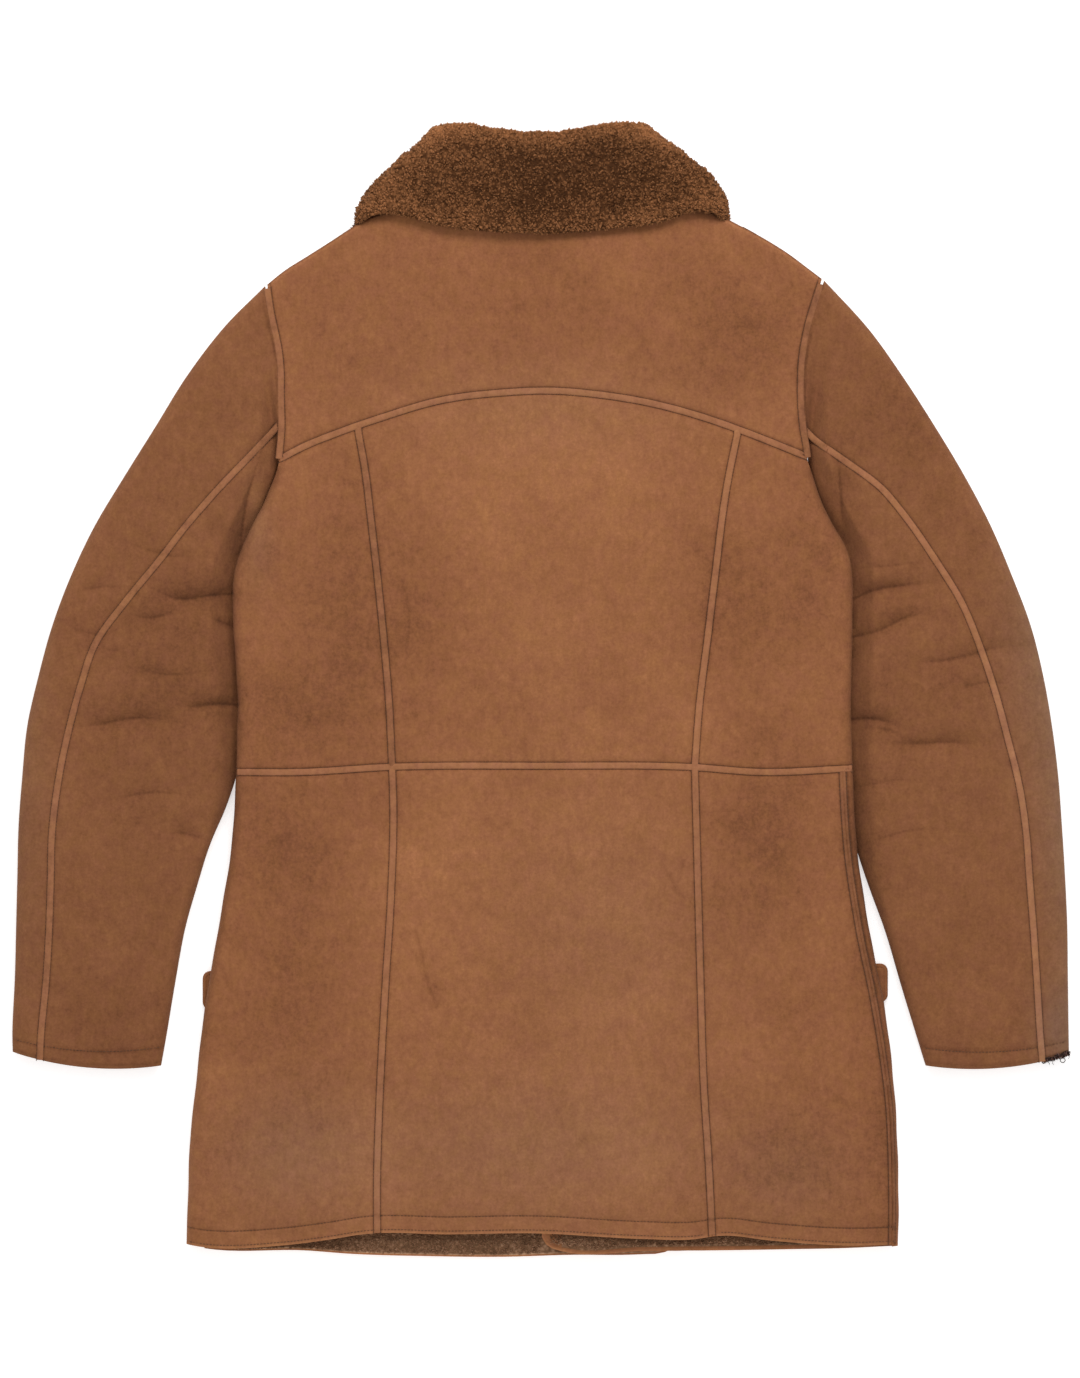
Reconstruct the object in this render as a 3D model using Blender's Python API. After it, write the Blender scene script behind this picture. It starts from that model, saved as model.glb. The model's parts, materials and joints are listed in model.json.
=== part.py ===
"""A shearling coat laid flat on its front, with its back uppermost.

The frame is in metres with +Z up. The coat rests on z = 0, its length runs along Y with the collar at
+Y, and the wearer's left is at -X. Tables and sizes below are in millimetres. Every piece of hide is a
closed wall, lofted through rings that follow from the outline tables and from the layer heights.
"""
import math

import bmesh
import bpy
import numpy as np
from mathutils.bvhtree import BVHTree

MM = 0.001

# Driving sizes, in millimetres.
HIDE = 11.0            # skin and pressed fleece together
PLY_GAP = 1.2          # between two layers that lie on each other
RAMP_GAP = 0.8         # more where they climb together
SEAM_GAP = 0.36        # between two pieces at a seam
FOLD_RADIUS = 9.0      # how far in from a fold the wall rounds over
UNDER_SEAM = 14.0      # from the side fold to the side seam where it lies underneath
UNDER_SEAM_GAP = 0.4   # more room there
INNER_FOLD = 10.0      # the inner face's last stretch before that seam
HEM_THIN = 0.41        # the share of its thickness that the hide loses in the turned hem
HEM_DEPTH = 26.0       # how far above the hem the thinning starts
SLEEVE_TUCK = 8.5      # how high the body's edge is lifted by the sleeve under it
TUCK_WIDTH = 30.0      # how far in from the edge that lift dies out
WIDE_TUCK = 60.0       # the same for the layers above
MIDDLE_TUCK = 0.4      # and how much of the lift reaches them
LEFT_TUCK_END = (-57, -97)
RIGHT_TUCK_END = (-105, -145)
SLEEVE_CLEAR = 0.7
ARMHOLE_GAP = 0.7      # between sleeve and body, more than at the other seams
SLEEVE_FOLD = 11.0     # how far in a sleeve's edges round over
SLEEVE_SLIT = 0.6      # half the height inside a flattened sleeve
SHOULDER_LIP = 3.5     # wall left at the shoulder's fold
COLLAR_HIDE = 10.0     # collar wall, fleece outside
STAND_HIDE = 8.0       # collar stand wall
COLLAR_SEAT = 1.2      # under the fall, over the yoke
LEAF_SLIT = 6.8        # height of the slit between fall and stand, underneath
LEAF = 7.0             # lift of the fronts where the collar's leaves lie under them
STRIP_WIDTH = 7.0      # a seam strap
STRIP_PROUD = 1.3
STRIP_SEAT = 0.4
UNDERLAP_EDGE = 1.6    # free edge of the right front, which lies inside
OVERLAP_EDGE = 108.8   # free edge of the left front, which lies outside
EDGE_TAPER = 7.0       # how much thinner that edge is
TAPER_START = 84.8     # where it starts to thin
TAPER_END = 109.8
FLOOR_START = 118.0    # where the right front has come down beside it
UNDERLAP_TAPER = 8.0   # how much thinner the right front's free edge is
UNDERLAP_FULL = 25.0   # where that front has its full thickness
LEAF_SPAN = [(128, 1.0), (146, 0.85), (164, 0.45), (184, 0.1), (196, 0.0)]
LEAF_RISE = (168, 292)  # where the fronts start and end to climb over the leaves
OVERLAP_COLUMNS = (-92, -66, -42, -20, 1.6, 25, 54, 84.8, 109.8, 118)
LEFT_FRONT_COLUMNS = (84.8,)
NECK_COLUMNS = (-194, -182, -162, -144, -126, -105, -92, -76, -60, -40, -20, 1.6, 25, 54, 84.8, 98,
                109.8, 118, 130, 148, 166, 186, 197)
UNDER_COLUMNS = (-194, -182, -162, -144, -126, -92, -50, 1.6, 25, 54, 84.8, 109.8, 118, 130, 148, 166, 186,
                 197)
COLUMN_STEP = 24.0     # between the columns of a panel
FRONT_COLUMN_STEP = 34.0
ROW_STEP = 27.0        # between its rows
SKIRT_ROW_STEP = 36.0
FOLD_COLUMN = 30.0     # no fixed column this near to a fold
LEFT_ARMPIT = 184.6
RIGHT_ARMPIT = 187.2
BUTTON_RADIUS = 14.0
BUTTON_HEIGHT = 5.0
BUTTON_X = 78.0
BUTTON_YS = (235, 115, -5, -125)
FLAP_SIZE = (150.0, 31.0, 5.0)
FLAP_CORNER = 6.0
LEFT_FLAP = (-195.0, -241.0)
RIGHT_FLAP = (204.0, -235.0)
PRESS_ROOM = 0.35      # between a pressed-in piece and the wall round it

# Level curves: columns x, y.
YOKE = [(-208, 184), (-191, 193), (-159, 206), (-127, 217), (-79, 231), (-31, 237), (5, 238.5),
        (49, 235), (81, 230), (129, 218), (169, 204), (214, 186)]
WAIST = [(-243, -66), (-191, -66), (-121, -62), (1, -61), (121, -62), (177, -66), (250, -63)]
SHOULDERS = [(-218, 324), (-205, 334.5), (-186, 346.5), (-166, 359), (-152, 366), (-138, 366), (-118, 380),
             (-92, 396), (-60, 389), (2, 386), (64, 389), (98, 396), (121, 381), (142, 368), (158, 371.5),
             (180, 360.5), (200, 348), (216, 336), (226, 328.5)]
LEFT_FRONT_TOP = [(-218, 324), (-205, 334.5), (-186, 346.5), (-166, 359), (-152, 366), (-138, 366),
                  (-118, 380), (-92, 396), (-79, 371), (-55, 347), (-23, 335), (2, 332), (65, 332),
                  (109, 332)]
RIGHT_FRONT_TOP = [(1, 332), (30, 335), (62, 347), (86, 371), (98, 396), (121, 381), (142, 368),
                   (158, 371.5), (180, 360.5), (200, 348), (216, 336), (226, 328.5)]
BACK_HEM = [(-283, -444), (-271, -446), (-207, -445), (-167, -440), (-142, -436), (-71, -436), (1, -435),
            (81, -439), (121, -440), (146, -437), (185, -441), (249, -445), (287, -444)]
LEFT_FRONT_HEM = [(-283, -445), (-266, -448), (-186, -449.5), (-154, -452), (-90, -454), (-26, -454.5),
                  (22, -453), (81, -452.5), (100, -451), (109, -447)]
RIGHT_FRONT_HEM = [(1, -437), (5, -444), (14, -448.5), (25, -451), (81, -449.5), (129, -449.5),
                   (198, -448.5), (246, -447.5), (287, -445.5)]

# Upright curves: columns y, x.
LEFT_EDGE = [(-444, -283), (-409, -281.6), (-369, -280), (-329, -276.8), (-289, -272), (-249, -267.2),
             (-189, -256.8), (-129, -247.2), (-65, -242.8), (-9, -241.6), (51, -244.8), (83, -245.6),
             (111, -239.2), (135, -228), (147, -221.6), (159, -217), (171, -212), (186, -207.5)]
RIGHT_EDGE = [(-444, 287.2), (-409, 287.2), (-369, 286.4), (-329, 284.8), (-289, 280.8), (-249, 275.2),
              (-189, 263.2), (-129, 254.4), (-65, 250.4), (-9, 249.2), (51, 250), (83, 250.4),
              (111, 246.4), (135, 232.8), (147, 227.2), (159, 222.4), (171, 218.4), (186, 213.5)]
LEFT_ARMHOLE = [(184, -208.5), (207, -206.4), (231, -206.8), (263, -207.6), (279, -210), (295, -213.6),
                (311, -216.4), (324, -218)]
RIGHT_ARMHOLE = [(184, 214.5), (191, 213.6), (211, 210.4), (231, 208.8), (247, 208.8), (263, 209.6),
                 (279, 212), (295, 215.6), (311, 220.5), (328.5, 226)]
LEFT_PRINCESS = [(-61, -118), (-9, -120), (39, -122), (87, -127), (139, -134), (175, -139), (206, -145)]
RIGHT_PRINCESS = [(-61, 124), (-9, 127), (39, 135), (87, 142), (167, 151), (204, 158)]
LEFT_SKIRT_SEAM = [(-438, -130), (-393, -130), (-329, -128), (-233, -123), (-169, -119), (-89, -117),
                   (-61, -118)]
SIDE_SEAM_IN = [(-444, 5.5), (-345, 5.5), (-249, 8), (-153, 8.3), (-63, 8.5)]
RIGHT_SKIRT_SEAM = [(-438, 138), (-377, 135), (-313, 131), (-249, 129), (-137, 126), (-61, 124)]

# Sleeves: outer edge, inner edge, bow of the section, hind seam as a fraction across, height.
SLEEVE_COLUMNS = ("outer_x", "outer_y", "inner_x", "inner_y", "bow", "hind", "height")
LEFT_SLEEVE = [
    (-218, 324, -208.5, 186, 0, 0.80, 22.4),
    (-252, 290, -216, 172, 0, 0.75, 24.0),
    (-282, 251, -224, 148, 0, 0.68, 25.0),
    (-307, 211, -234, 120, 0, 0.61, 25.5),
    (-332, 171, -236, 91, 0, 0.51, 26.0),
    (-356, 131, -235, 61, 0, 0.42, 26.0),
    (-375, 91, -235, 29, 0, 0.32, 26.0),
    (-390, 51, -234, -4, 0, 0.23, 26.0),
    (-401, 11, -236, -36, 0, 0.205, 26.0),
    (-410, -29, -242, -66, 1, 0.195, 25.5),
    (-414, -69, -251, -94, 2, 0.18, 25.0),
    (-417, -109, -264, -125, 3, 0.18, 24.5),
    (-418, -149, -274, -157, 4, 0.19, 24.0),
    (-419, -189, -284, -193, 5, 0.20, 23.5),
    (-420, -229, -292, -237, 6, 0.20, 22.5),
    (-422, -269, -298, -273, 6.5, 0.19, 20.0),
    (-422, -290, -303, -301, 7, 0.19, 15.0),
]
RIGHT_SLEEVE = [
    (226, 328.5, 214.5, 186, 0, 0.84, 22.4),
    (262, 289.5, 222.5, 172, 0, 0.78, 24.0),
    (290, 251, 231, 147, 0, 0.66, 25.0),
    (316, 211, 242, 119, 0, 0.55, 25.5),
    (340, 171, 242, 87, 0, 0.45, 26.0),
    (361, 131, 241, 55, 0, 0.37, 26.0),
    (378, 91, 240, 23, 0, 0.30, 26.0),
    (393, 51, 240, -9, 0, 0.27, 26.0),
    (403, 11, 240, -41, 0, 0.24, 26.0),
    (410, -29, 242, -73, 0, 0.215, 25.5),
    (415, -69, 247, -105, 1, 0.19, 25.0),
    (418, -109, 255, -132, 2, 0.18, 24.5),
    (420.5, -149, 264, -159, 3, 0.185, 24.0),
    (422.3, -189, 277, -195, 4, 0.19, 23.5),
    (422.8, -229, 289, -236, 5, 0.19, 22.5),
    (423.4, -269, 300, -272, 6, 0.19, 20.0),
    (423.9, -292, 309, -301, 6.5, 0.19, 15.0),
]
FOREARM_SEAM = 0.84    # the sleeve's other seam, underneath, as a fraction across

# Creases in the outer face: columns from x, y to x, y, depth (a ridge is negative) and half width.
CREASES = [
    (-296, 76, -246, 72, 3.2, 11),
    (-330, 52, -285, 44, 1.8, 14),
    (-366, -28, -318, -24, 2.2, 12),
    (-318, -24, -248, -27, 3.0, 12),
    (-278, -13, -243, -11, 2.0, 10),
    (-310, -110, -264, -119, 2.0, 13),
    (-256, 120, -246, 108, 3.0, 14),
    (-222, 194, -238, 120, 2.6, 9),
    (256, 76, 286, 80, 3.2, 10),
    (286, 80, 318, 83, 2.4, 12),
    (254, 42, 280, 56, 2.4, 11),
    (280, 56, 314, 61, 1.8, 12),
    (294, 23, 400, 38, 1.6, 14),
    (250, -24, 282, -25, 2.8, 10),
    (258, -43, 324, -45, 2.6, 12),
    (324, -45, 366, -42, 1.8, 12),
    (244, 166, 246, 112, 2.8, 9),
]

# Collar: roll line and outer edge over the back, columns x, y.
COLLAR_ROLL = [(-87, 448), (-63, 452), (-36, 448), (5, 445), (41, 449), (70, 452.8), (89, 447)]
COLLAR_EDGE = [(-146, 373), (-124, 380), (-111, 378), (-79, 370), (-31, 365), (17, 364), (65, 368),
               (97, 373), (129, 382), (150, 377)]
NECK_SEAM = [(-92, 399.5), (-60, 392), (2, 388.5), (64, 392), (98, 399.5)]
COLLAR_FOLD = 14.0     # how far in from its side folds the fall lies flat
COLLAR_BOW = {-1: (10.5, 1.6), 1: (15.5, 1.35)}    # how far each side fold bows out, and its lean to the edge
STAND_FOLD = 12.0      # the same for the stand
# The leaves underneath, from the side fold to the front end: columns x, y. The right ones mirror them.
LEAF_ROLL = [(-73, 446), (-66, 412), (-42, 380), (-5, 366)]
LEAF_EDGE = [(-132, 373), (-126, 340), (-106, 315), (-78, 303)]
LEAF_NECK = [(-80, 399), (-72, 375), (-51, 352), (-5, 336)]
CENTRE = 2.0

SUEDE = (0.30, 0.135, 0.062)
FLEECE = (0.13, 0.065, 0.024)
HORN = (0.07, 0.035, 0.018)


# ---- curves and heights ------------------------------------------------------------------------

def ease(t):
    """0 to 1 with level ends."""
    t = np.clip(t, 0.0, 1.0)
    return t * t * (3.0 - 2.0 * t)


def smooth(table, at):
    """The second column of a table at values of its first, along a smooth curve."""
    rows = np.asarray(table, float)
    knots, values = rows[:, 0], rows[:, 1]
    slopes = np.gradient(values, knots)
    at = np.clip(np.asarray(at, float), knots[0], knots[-1])
    i = np.clip(np.searchsorted(knots, at, side="right") - 1, 0, len(knots) - 2)
    span = knots[i + 1] - knots[i]
    f = (at - knots[i]) / span
    return ((1 + 2 * f) * (1 - f) ** 2 * values[i] + f * (1 - f) ** 2 * span * slopes[i]
            + f * f * (3 - 2 * f) * values[i + 1] - f * f * (1 - f) * span * slopes[i + 1])


def route(points, t):
    """Plan points at fractions t along a smooth curve through a few points."""
    spots = np.asarray(points, float)
    steps = np.hypot(*np.diff(spots, axis=0).T)
    along = np.concatenate([[0.0], np.cumsum(steps)]) / steps.sum()
    return (smooth(np.column_stack([along, spots[:, 0]]), t),
            smooth(np.column_stack([along, spots[:, 1]]), t))


def curve(table):
    return lambda at: smooth(table, at)


def round_over(distance, radius=FOLD_RADIUS):
    """How much of its full height a rounded edge has, at a distance in from the fold."""
    t = np.clip(distance / radius, 0.0, 1.0)
    return np.sqrt(np.clip(1.0 - (1.0 - t) ** 2, 0.0, 1.0))


def crease_depth(x, y):
    depth = np.zeros(np.broadcast(x, y).shape)
    for x0, y0, x1, y1, deep, width in CREASES:
        run = np.array([x1 - x0, y1 - y0])
        t = np.clip(((x - x0) * run[0] + (y - y0) * run[1]) / (run @ run), 0, 1)
        away = np.hypot(x - x0 - t * run[0], y - y0 - t * run[1])
        depth = depth + deep * np.exp(-(away / width) ** 2)
    return depth


def tuck(y, foot_start, foot_end):
    """How far the sleeve lifts the body's edge, along the side."""
    return SLEEVE_TUCK * ease((172 - y) / 60) * ease((y - foot_end) / (foot_start - foot_end))


def side_lift(x, y, width=TUCK_WIDTH):
    from_left = x - smooth(LEFT_EDGE, y)
    from_right = smooth(RIGHT_EDGE, y) - x
    return (tuck(y, *LEFT_TUCK_END) * (1 - ease(from_left / width))
            + tuck(y, *RIGHT_TUCK_END) * (1 - ease(from_right / width)))


def neck_share(x, y):
    """1 over the collar's leaves, falling to 0 around them."""
    start, end = LEAF_RISE
    away, share = np.array(LEAF_SPAN).T
    return ease((y - start) / (end - start)) * np.interp(np.abs(x - CENTRE), away, share)


def middle_lift(x, y):
    """The lift of what lies above the fronts, from the collar's leaves and from the sleeves."""
    share = neck_share(x, y)
    sides = side_lift(x, y, WIDE_TUCK) / SLEEVE_TUCK
    return LEAF * share + MIDDLE_TUCK * SLEEVE_TUCK * sides


def ramp_gap(x, y):
    """Extra room between the layers where they climb."""
    shares = [neck_share(x, y), side_lift(x, y, WIDE_TUCK) / SLEEVE_TUCK, fade_down(y) * (x < FLOOR_START)]
    return RAMP_GAP * 4 * sum(share * (1 - share) for share in shares)


def hem_ease(x, y, hem):
    return 1 - ease((y - smooth(hem, x)) / HEM_DEPTH)


def fade_down(y, delay=0.0):
    """How far the upper layers keep the height they have on the left front, above its top edge."""
    return 1 - ease((y - 334 - delay) / 62)


def between(value, start, end):
    return np.clip((value - start) / (end - start), 0, 1)


def left_front_thickness(x):
    return HIDE - EDGE_TAPER * between(x, TAPER_START, TAPER_END)


def right_front_thickness(x):
    return HIDE - UNDERLAP_TAPER * (1 - between(x, UNDERLAP_EDGE, UNDERLAP_FULL))


def over_left_front(x):
    """The height at which the right front lies on the left one, and comes down beside it."""
    on_front = left_front_thickness(x) + PLY_GAP
    beside = (HIDE - EDGE_TAPER + PLY_GAP) * (1 - between(x, TAPER_END, FLOOR_START))
    return np.where(x < TAPER_END, on_front, beside)


def left_front_top(x, y):
    thickness = left_front_thickness(x) * (1 - HEM_THIN * hem_ease(x, y, LEFT_FRONT_HEM))
    return middle_lift(x, y) + thickness


def settle(x, y):
    """How far the upper layers follow the left front's thinner hem."""
    return 0.25 * left_front_thickness(x) * hem_ease(x, y, LEFT_FRONT_HEM) * (x < TAPER_END)


def right_front_low(x, y):
    return (LEAF * neck_share(x, y) + side_lift(x, y) + over_left_front(x) * fade_down(y)
            + ramp_gap(x, y) * (x < FLOOR_START) - settle(x, y))


def right_front_top(x, y):
    thickness = right_front_thickness(x) * (1 - HEM_THIN * hem_ease(x, y, RIGHT_FRONT_HEM))
    return (middle_lift(x, y) + ramp_gap(x, y) + over_left_front(x) * fade_down(y)
            + thickness - settle(x, y))


def back_bottom(x, y):
    under_edge = PLY_GAP + HIDE - UNDERLAP_TAPER
    before = under_edge * between(x, UNDERLAP_EDGE - 21.6, UNDERLAP_EDGE)
    above = over_left_front(x) + right_front_thickness(x) - HIDE
    over = np.where(x < UNDERLAP_EDGE, before, above)
    return (middle_lift(x, y) + 2 * ramp_gap(x, y) + HIDE + PLY_GAP + over * fade_down(y, 6.0)
            - 1.5 * hem_ease(x, y, BACK_HEM))


def back_flat(x, y):
    """The outer face of the back, before its folds round over."""
    bump = ease((x + 45) / 95) * (1 - ease((x - 70) / 75))
    lifts = LEAF * neck_share(x, y) + 0.7 * side_lift(x, y, WIDE_TUCK)
    return (2 * HIDE + PLY_GAP + lifts + (HIDE + PLY_GAP) * bump * fade_down(y, 6.0)
            - (1.5 + HEM_THIN * HIDE) * hem_ease(x, y, BACK_HEM) - crease_depth(x, y))


def fold_middle(x, y):
    """Half way up the side fold."""
    return 0.5 * (side_lift(x, y) + back_flat(x, y))


def side_roundness(y):
    """How round the body's sides are: square where they meet the armholes."""
    return ease((181 - y) / 9)


def from_side(x, y):
    return np.minimum(x - smooth(LEFT_EDGE, y), smooth(RIGHT_EDGE, y) - x)


def shoulder_round(x, y, sides=(-1, 1)):
    """How much of its full height a wall has near the shoulder's fold."""
    away = smooth(SHOULDERS, x) - y
    on_shoulder = sum((x - CENTRE) * side > 80 for side in sides) > 0
    return np.where(on_shoulder, round_over(away, 11.0), 1.0)


def back_top(x, y):
    flat = back_flat(x, y)
    middle = fold_middle(x, y)
    side = middle + (flat - middle) * round_over(from_side(x, y))
    flat = flat + (side - flat) * side_roundness(y)
    low = back_bottom(x, y) + SHOULDER_LIP
    return low + (flat - low) * shoulder_round(x, y)


def left_front_low(x, y):
    lift = LEAF * neck_share(x, y) + side_lift(x, y)
    return lift + (HIDE - SHOULDER_LIP) * (1 - shoulder_round(x, y, (-1,)))


def right_front_bottom(x, y):
    round_up = 1 - shoulder_round(x, y, (1,))
    return right_front_low(x, y) + (HIDE - SHOULDER_LIP) * round_up


def over_sleeve(x, y):
    """The height that a sleeve has under and beside the body's rounded side."""
    away = from_side(x, y)
    low = side_lift(x, y)
    middle = fold_middle(x, y)
    under = middle - (middle - low) * round_over(away) - SLEEVE_CLEAR
    beside = 10.0 - 0.9 * np.minimum(away, 0)
    return np.where(away > 0, np.minimum(under, beside), beside)


# ---- meshes ------------------------------------------------------------------------------------

def material(name, colour, roughness):
    mat = bpy.data.materials.new(name)
    mat.use_nodes = True
    shader = mat.node_tree.nodes["Principled BSDF"]
    shader.inputs["Base Color"].default_value = (*colour, 1.0)
    shader.inputs["Roughness"].default_value = roughness
    shader.inputs["Metallic"].default_value = 0.0
    return mat


def collection(name):
    group = bpy.data.collections.new(name)
    bpy.context.scene.collection.children.link(group)
    return group


def add_object(name, mesh, colour, group, roughness=0.85):
    obj = bpy.data.objects.new(name, mesh)
    mesh.materials.append(material(name, colour, roughness))
    mesh.shade_smooth()
    mesh.set_sharp_from_angle(angle=math.radians(40))
    group.objects.link(obj)
    return obj


def points(x, y, z):
    return np.column_stack(np.broadcast_arrays(x, y, z))


def loft(name, rings, colour, group):
    """A closed wall through rings. Each ring is two equal rows of points, an outer and an inner one,
    and both ends are closed between the two rows."""
    bm = bmesh.new()
    grid = []
    for outer, inner in rings:
        grid.append([bm.verts.new(p) for p in np.vstack([outer, inner[::-1]]) * MM])
    count = len(grid[0])
    for a, b in zip(grid[:-1], grid[1:]):
        for i in range(count):
            j = (i + 1) % count
            bm.faces.new((a[i], a[j], b[j], b[i]))
    for ring in (grid[0], grid[-1]):
        for i in range(count // 2 - 1):
            bm.faces.new((ring[i], ring[i + 1], ring[count - 2 - i], ring[count - 1 - i]))
    bmesh.ops.triangulate(bm, faces=bm.faces[:])
    bmesh.ops.recalc_face_normals(bm, faces=bm.faces[:])
    if bm.calc_volume(signed=True) < 0:
        bmesh.ops.reverse_faces(bm, faces=bm.faces[:])
    mesh = bpy.data.meshes.new(name)
    bm.to_mesh(mesh)
    bm.free()
    return add_object(name, mesh, colour, group)


# ---- body panels -------------------------------------------------------------------------------

def row_fractions(panel_height, spacing, hem, crest):
    """Rows up a panel, closer together in the turned hem and over the shoulder's fold."""
    gap = SEAM_GAP / 2 / panel_height
    low = [gap] + [depth / panel_height for depth in (3, 9, 20)] * hem
    high = [1 - depth / panel_height for depth in (11, 7, 3)] * crest + [1 - gap]
    count = max(2, math.ceil((high[0] - low[-1]) * panel_height / spacing))
    return low[:-1] + list(np.linspace(low[-1], high[0], count + 1)) + high[1:]


class Panel:
    """The plan of a body panel, between two upright curves x(y) and two level curves y(x).

    fold is -1 or 1 where the left or right curve is the body's side fold, and 0 where both are seams.
    """

    def __init__(self, left, right, bottom, top, fixed=OVERLAP_COLUMNS, fold=0, hem=False, crest=False,
                 seam_rows=(), column_step=COLUMN_STEP):
        self.left, self.right, self.bottom, self.top, self.fold = left, right, bottom, top, fold
        middle = 0.5 * (self.end(left, 0.5)[0] + self.end(right, 0.5)[0])
        height = float(top(middle) - bottom(middle))
        rows = row_fractions(height, SKIRT_ROW_STEP if hem else ROW_STEP, hem, crest)
        if len(seam_rows):
            rows = [v for v in rows if v < SEAM_GAP / height or v > max(seam_rows) + 10 / height]
        self.rows = sorted(rows + list(seam_rows))
        starts = [self.end(left, v)[0] for v in self.rows]
        ends = [self.end(right, v)[0] for v in self.rows]
        low = max(starts) + (FOLD_COLUMN if fold < 0 else 5)
        high = min(ends) - (FOLD_COLUMN if fold > 0 else 5)
        self.fixed = [x for x in fixed if low < x < high]
        marks = [min(starts)] + self.fixed + [max(ends)]
        self.count = [max(1, round((marks[1] - marks[0]) / column_step)),
                      max(1, round((marks[-1] - marks[-2]) / column_step))]

    def end(self, upright, v):
        """Where row v of the panel meets one of its upright curves."""
        y = 0.0
        for _ in range(40):
            x = float(upright(y))
            y = float(self.y(x, v))
        return float(upright(y)), y

    def row(self, v):
        """The plan positions across row v."""
        start = self.end(self.left, v)[0]
        end = self.end(self.right, v)[0]
        start += FOLD_RADIUS if self.fold < 0 else SEAM_GAP / 2
        end -= FOLD_RADIUS if self.fold > 0 else SEAM_GAP / 2
        if not self.fixed:
            return np.linspace(start, end, self.count[0] + 1)
        return np.concatenate([np.linspace(start, self.fixed[0], self.count[0] + 1)[:-1], self.fixed,
                               np.linspace(self.fixed[-1], end, self.count[1] + 1)[1:]])

    def y(self, x, v):
        return (1 - v) * self.bottom(x) + v * self.top(x)


def slab(name, panel, low, high, group):
    """A panel between two layer heights, with seams all round."""
    rings = []
    for v in panel.rows:
        x = panel.row(v)
        y = panel.y(x, v)
        rings.append((points(x, y, high(x, y)), points(x, y, low(x, y))))
    return loft(name, rings, SUEDE, group)


def folded_slab(name, panel, on_top, seam_in, interface, group, arc_count=5):
    """A panel that goes round the body's side fold to a seam on the other face.

    on_top tells a panel of the back, which wraps underneath, from one of the front, which wraps up.
    seam_in(y) is how far in from the fold the seam lies on that far face, and interface(x, y) is the
    height of the panel's inner face.
    """
    side = panel.fold
    rings = []
    for v in panel.rows:
        fold_x, fold_y = panel.end(panel.left if side < 0 else panel.right, v)
        flat_x = panel.row(v)
        if side < 0:
            flat_x = flat_x[::-1]
        far = float(seam_in(fold_y)) - SEAM_GAP / 2
        short = far < FOLD_RADIUS
        last = -math.acos(1 - far / FOLD_RADIUS) if short else -math.pi / 2
        angles = np.linspace(math.pi / 2, last, arc_count + 1)[1:]
        tail = [] if short else [far]
        away = np.concatenate([FOLD_RADIUS * (1 - np.cos(angles)), tail])
        swing = np.concatenate([np.ones(len(flat_x)), np.sin(angles), -np.ones(len(tail))])
        x = np.concatenate([flat_x, fold_x - side * away])
        limit = flat_x[0] if not panel.fixed else panel.fixed[0 if side < 0 else -1]
        squeeze = (abs(fold_x - limit) - far - INNER_FOLD) / (abs(fold_x - limit) - FOLD_RADIUS)
        beyond = (flat_x - limit) * side > 0
        inner_flat = np.where(beyond, limit + (flat_x - limit) * squeeze, flat_x)
        before_middle = np.sum(angles > 0)
        shares = np.maximum(1 - np.arange(len(away) + 1) / before_middle, 0)
        inner_fold = fold_x - side * (far + INNER_FOLD * shares)
        inner_x = np.concatenate([inner_flat[:-1], inner_fold])
        y, inner_y = panel.y(x, v), panel.y(inner_x, v)
        if on_top:
            beneath = (1 - v) * panel.bottom(x) + v * panel.top(fold_x)
            y = np.where(swing < 0, beneath, y)
            inner_y = np.where(swing < 0.5, beneath, inner_y)
        roundness = float(side_roundness(fold_y))
        swing = np.sign(np.round(swing, 9)) * (1 - roundness) + swing * roundness
        turned = swing if on_top else -swing
        middle = fold_middle(x, y)
        z = middle + np.where(turned > 0, turned * (back_flat(x, y) - middle),
                              turned * (middle - side_lift(x, y)))
        if not on_top:
            z[:len(flat_x)] = right_front_low(flat_x, y[:len(flat_x)])
        inner_z = interface(inner_x, inner_y)
        down_the_seam = np.cumsum(swing < 0) / (np.sum(swing < 0) + 1)
        inner_z = inner_z + (z[-1] - inner_z) * down_the_seam
        rings.append((points(x, y, z), points(inner_x, inner_y, inner_z)))
    return loft(name, rings, SUEDE, group)


def armhole_or_side(armhole, edge, side, step):
    """A front's outer seam: the armhole, and below it the side seam underneath the body."""
    inset = UNDER_SEAM + UNDER_SEAM_GAP
    return lambda y: np.where(np.asarray(y) > step, smooth(armhole, y), smooth(edge, y) - side * inset)


def rows_at_seam(panel, fold, outer, bottom, top, armpit):
    """Rows for a front that meet the rows of the back's side piece at the seam underneath, and two
    close ones where that seam steps in to the armhole."""
    heights = []
    for v in panel.rows[1:]:
        fold_x, fold_y = panel.end(fold, v)
        heights.append(min(fold_y, armpit - 0.3))
    rows = []
    for y in heights + [armpit + 0.35]:
        x = float(outer(y))
        rows.append(float((y - bottom(x)) / (top(x) - bottom(x))))
    return rows


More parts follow.
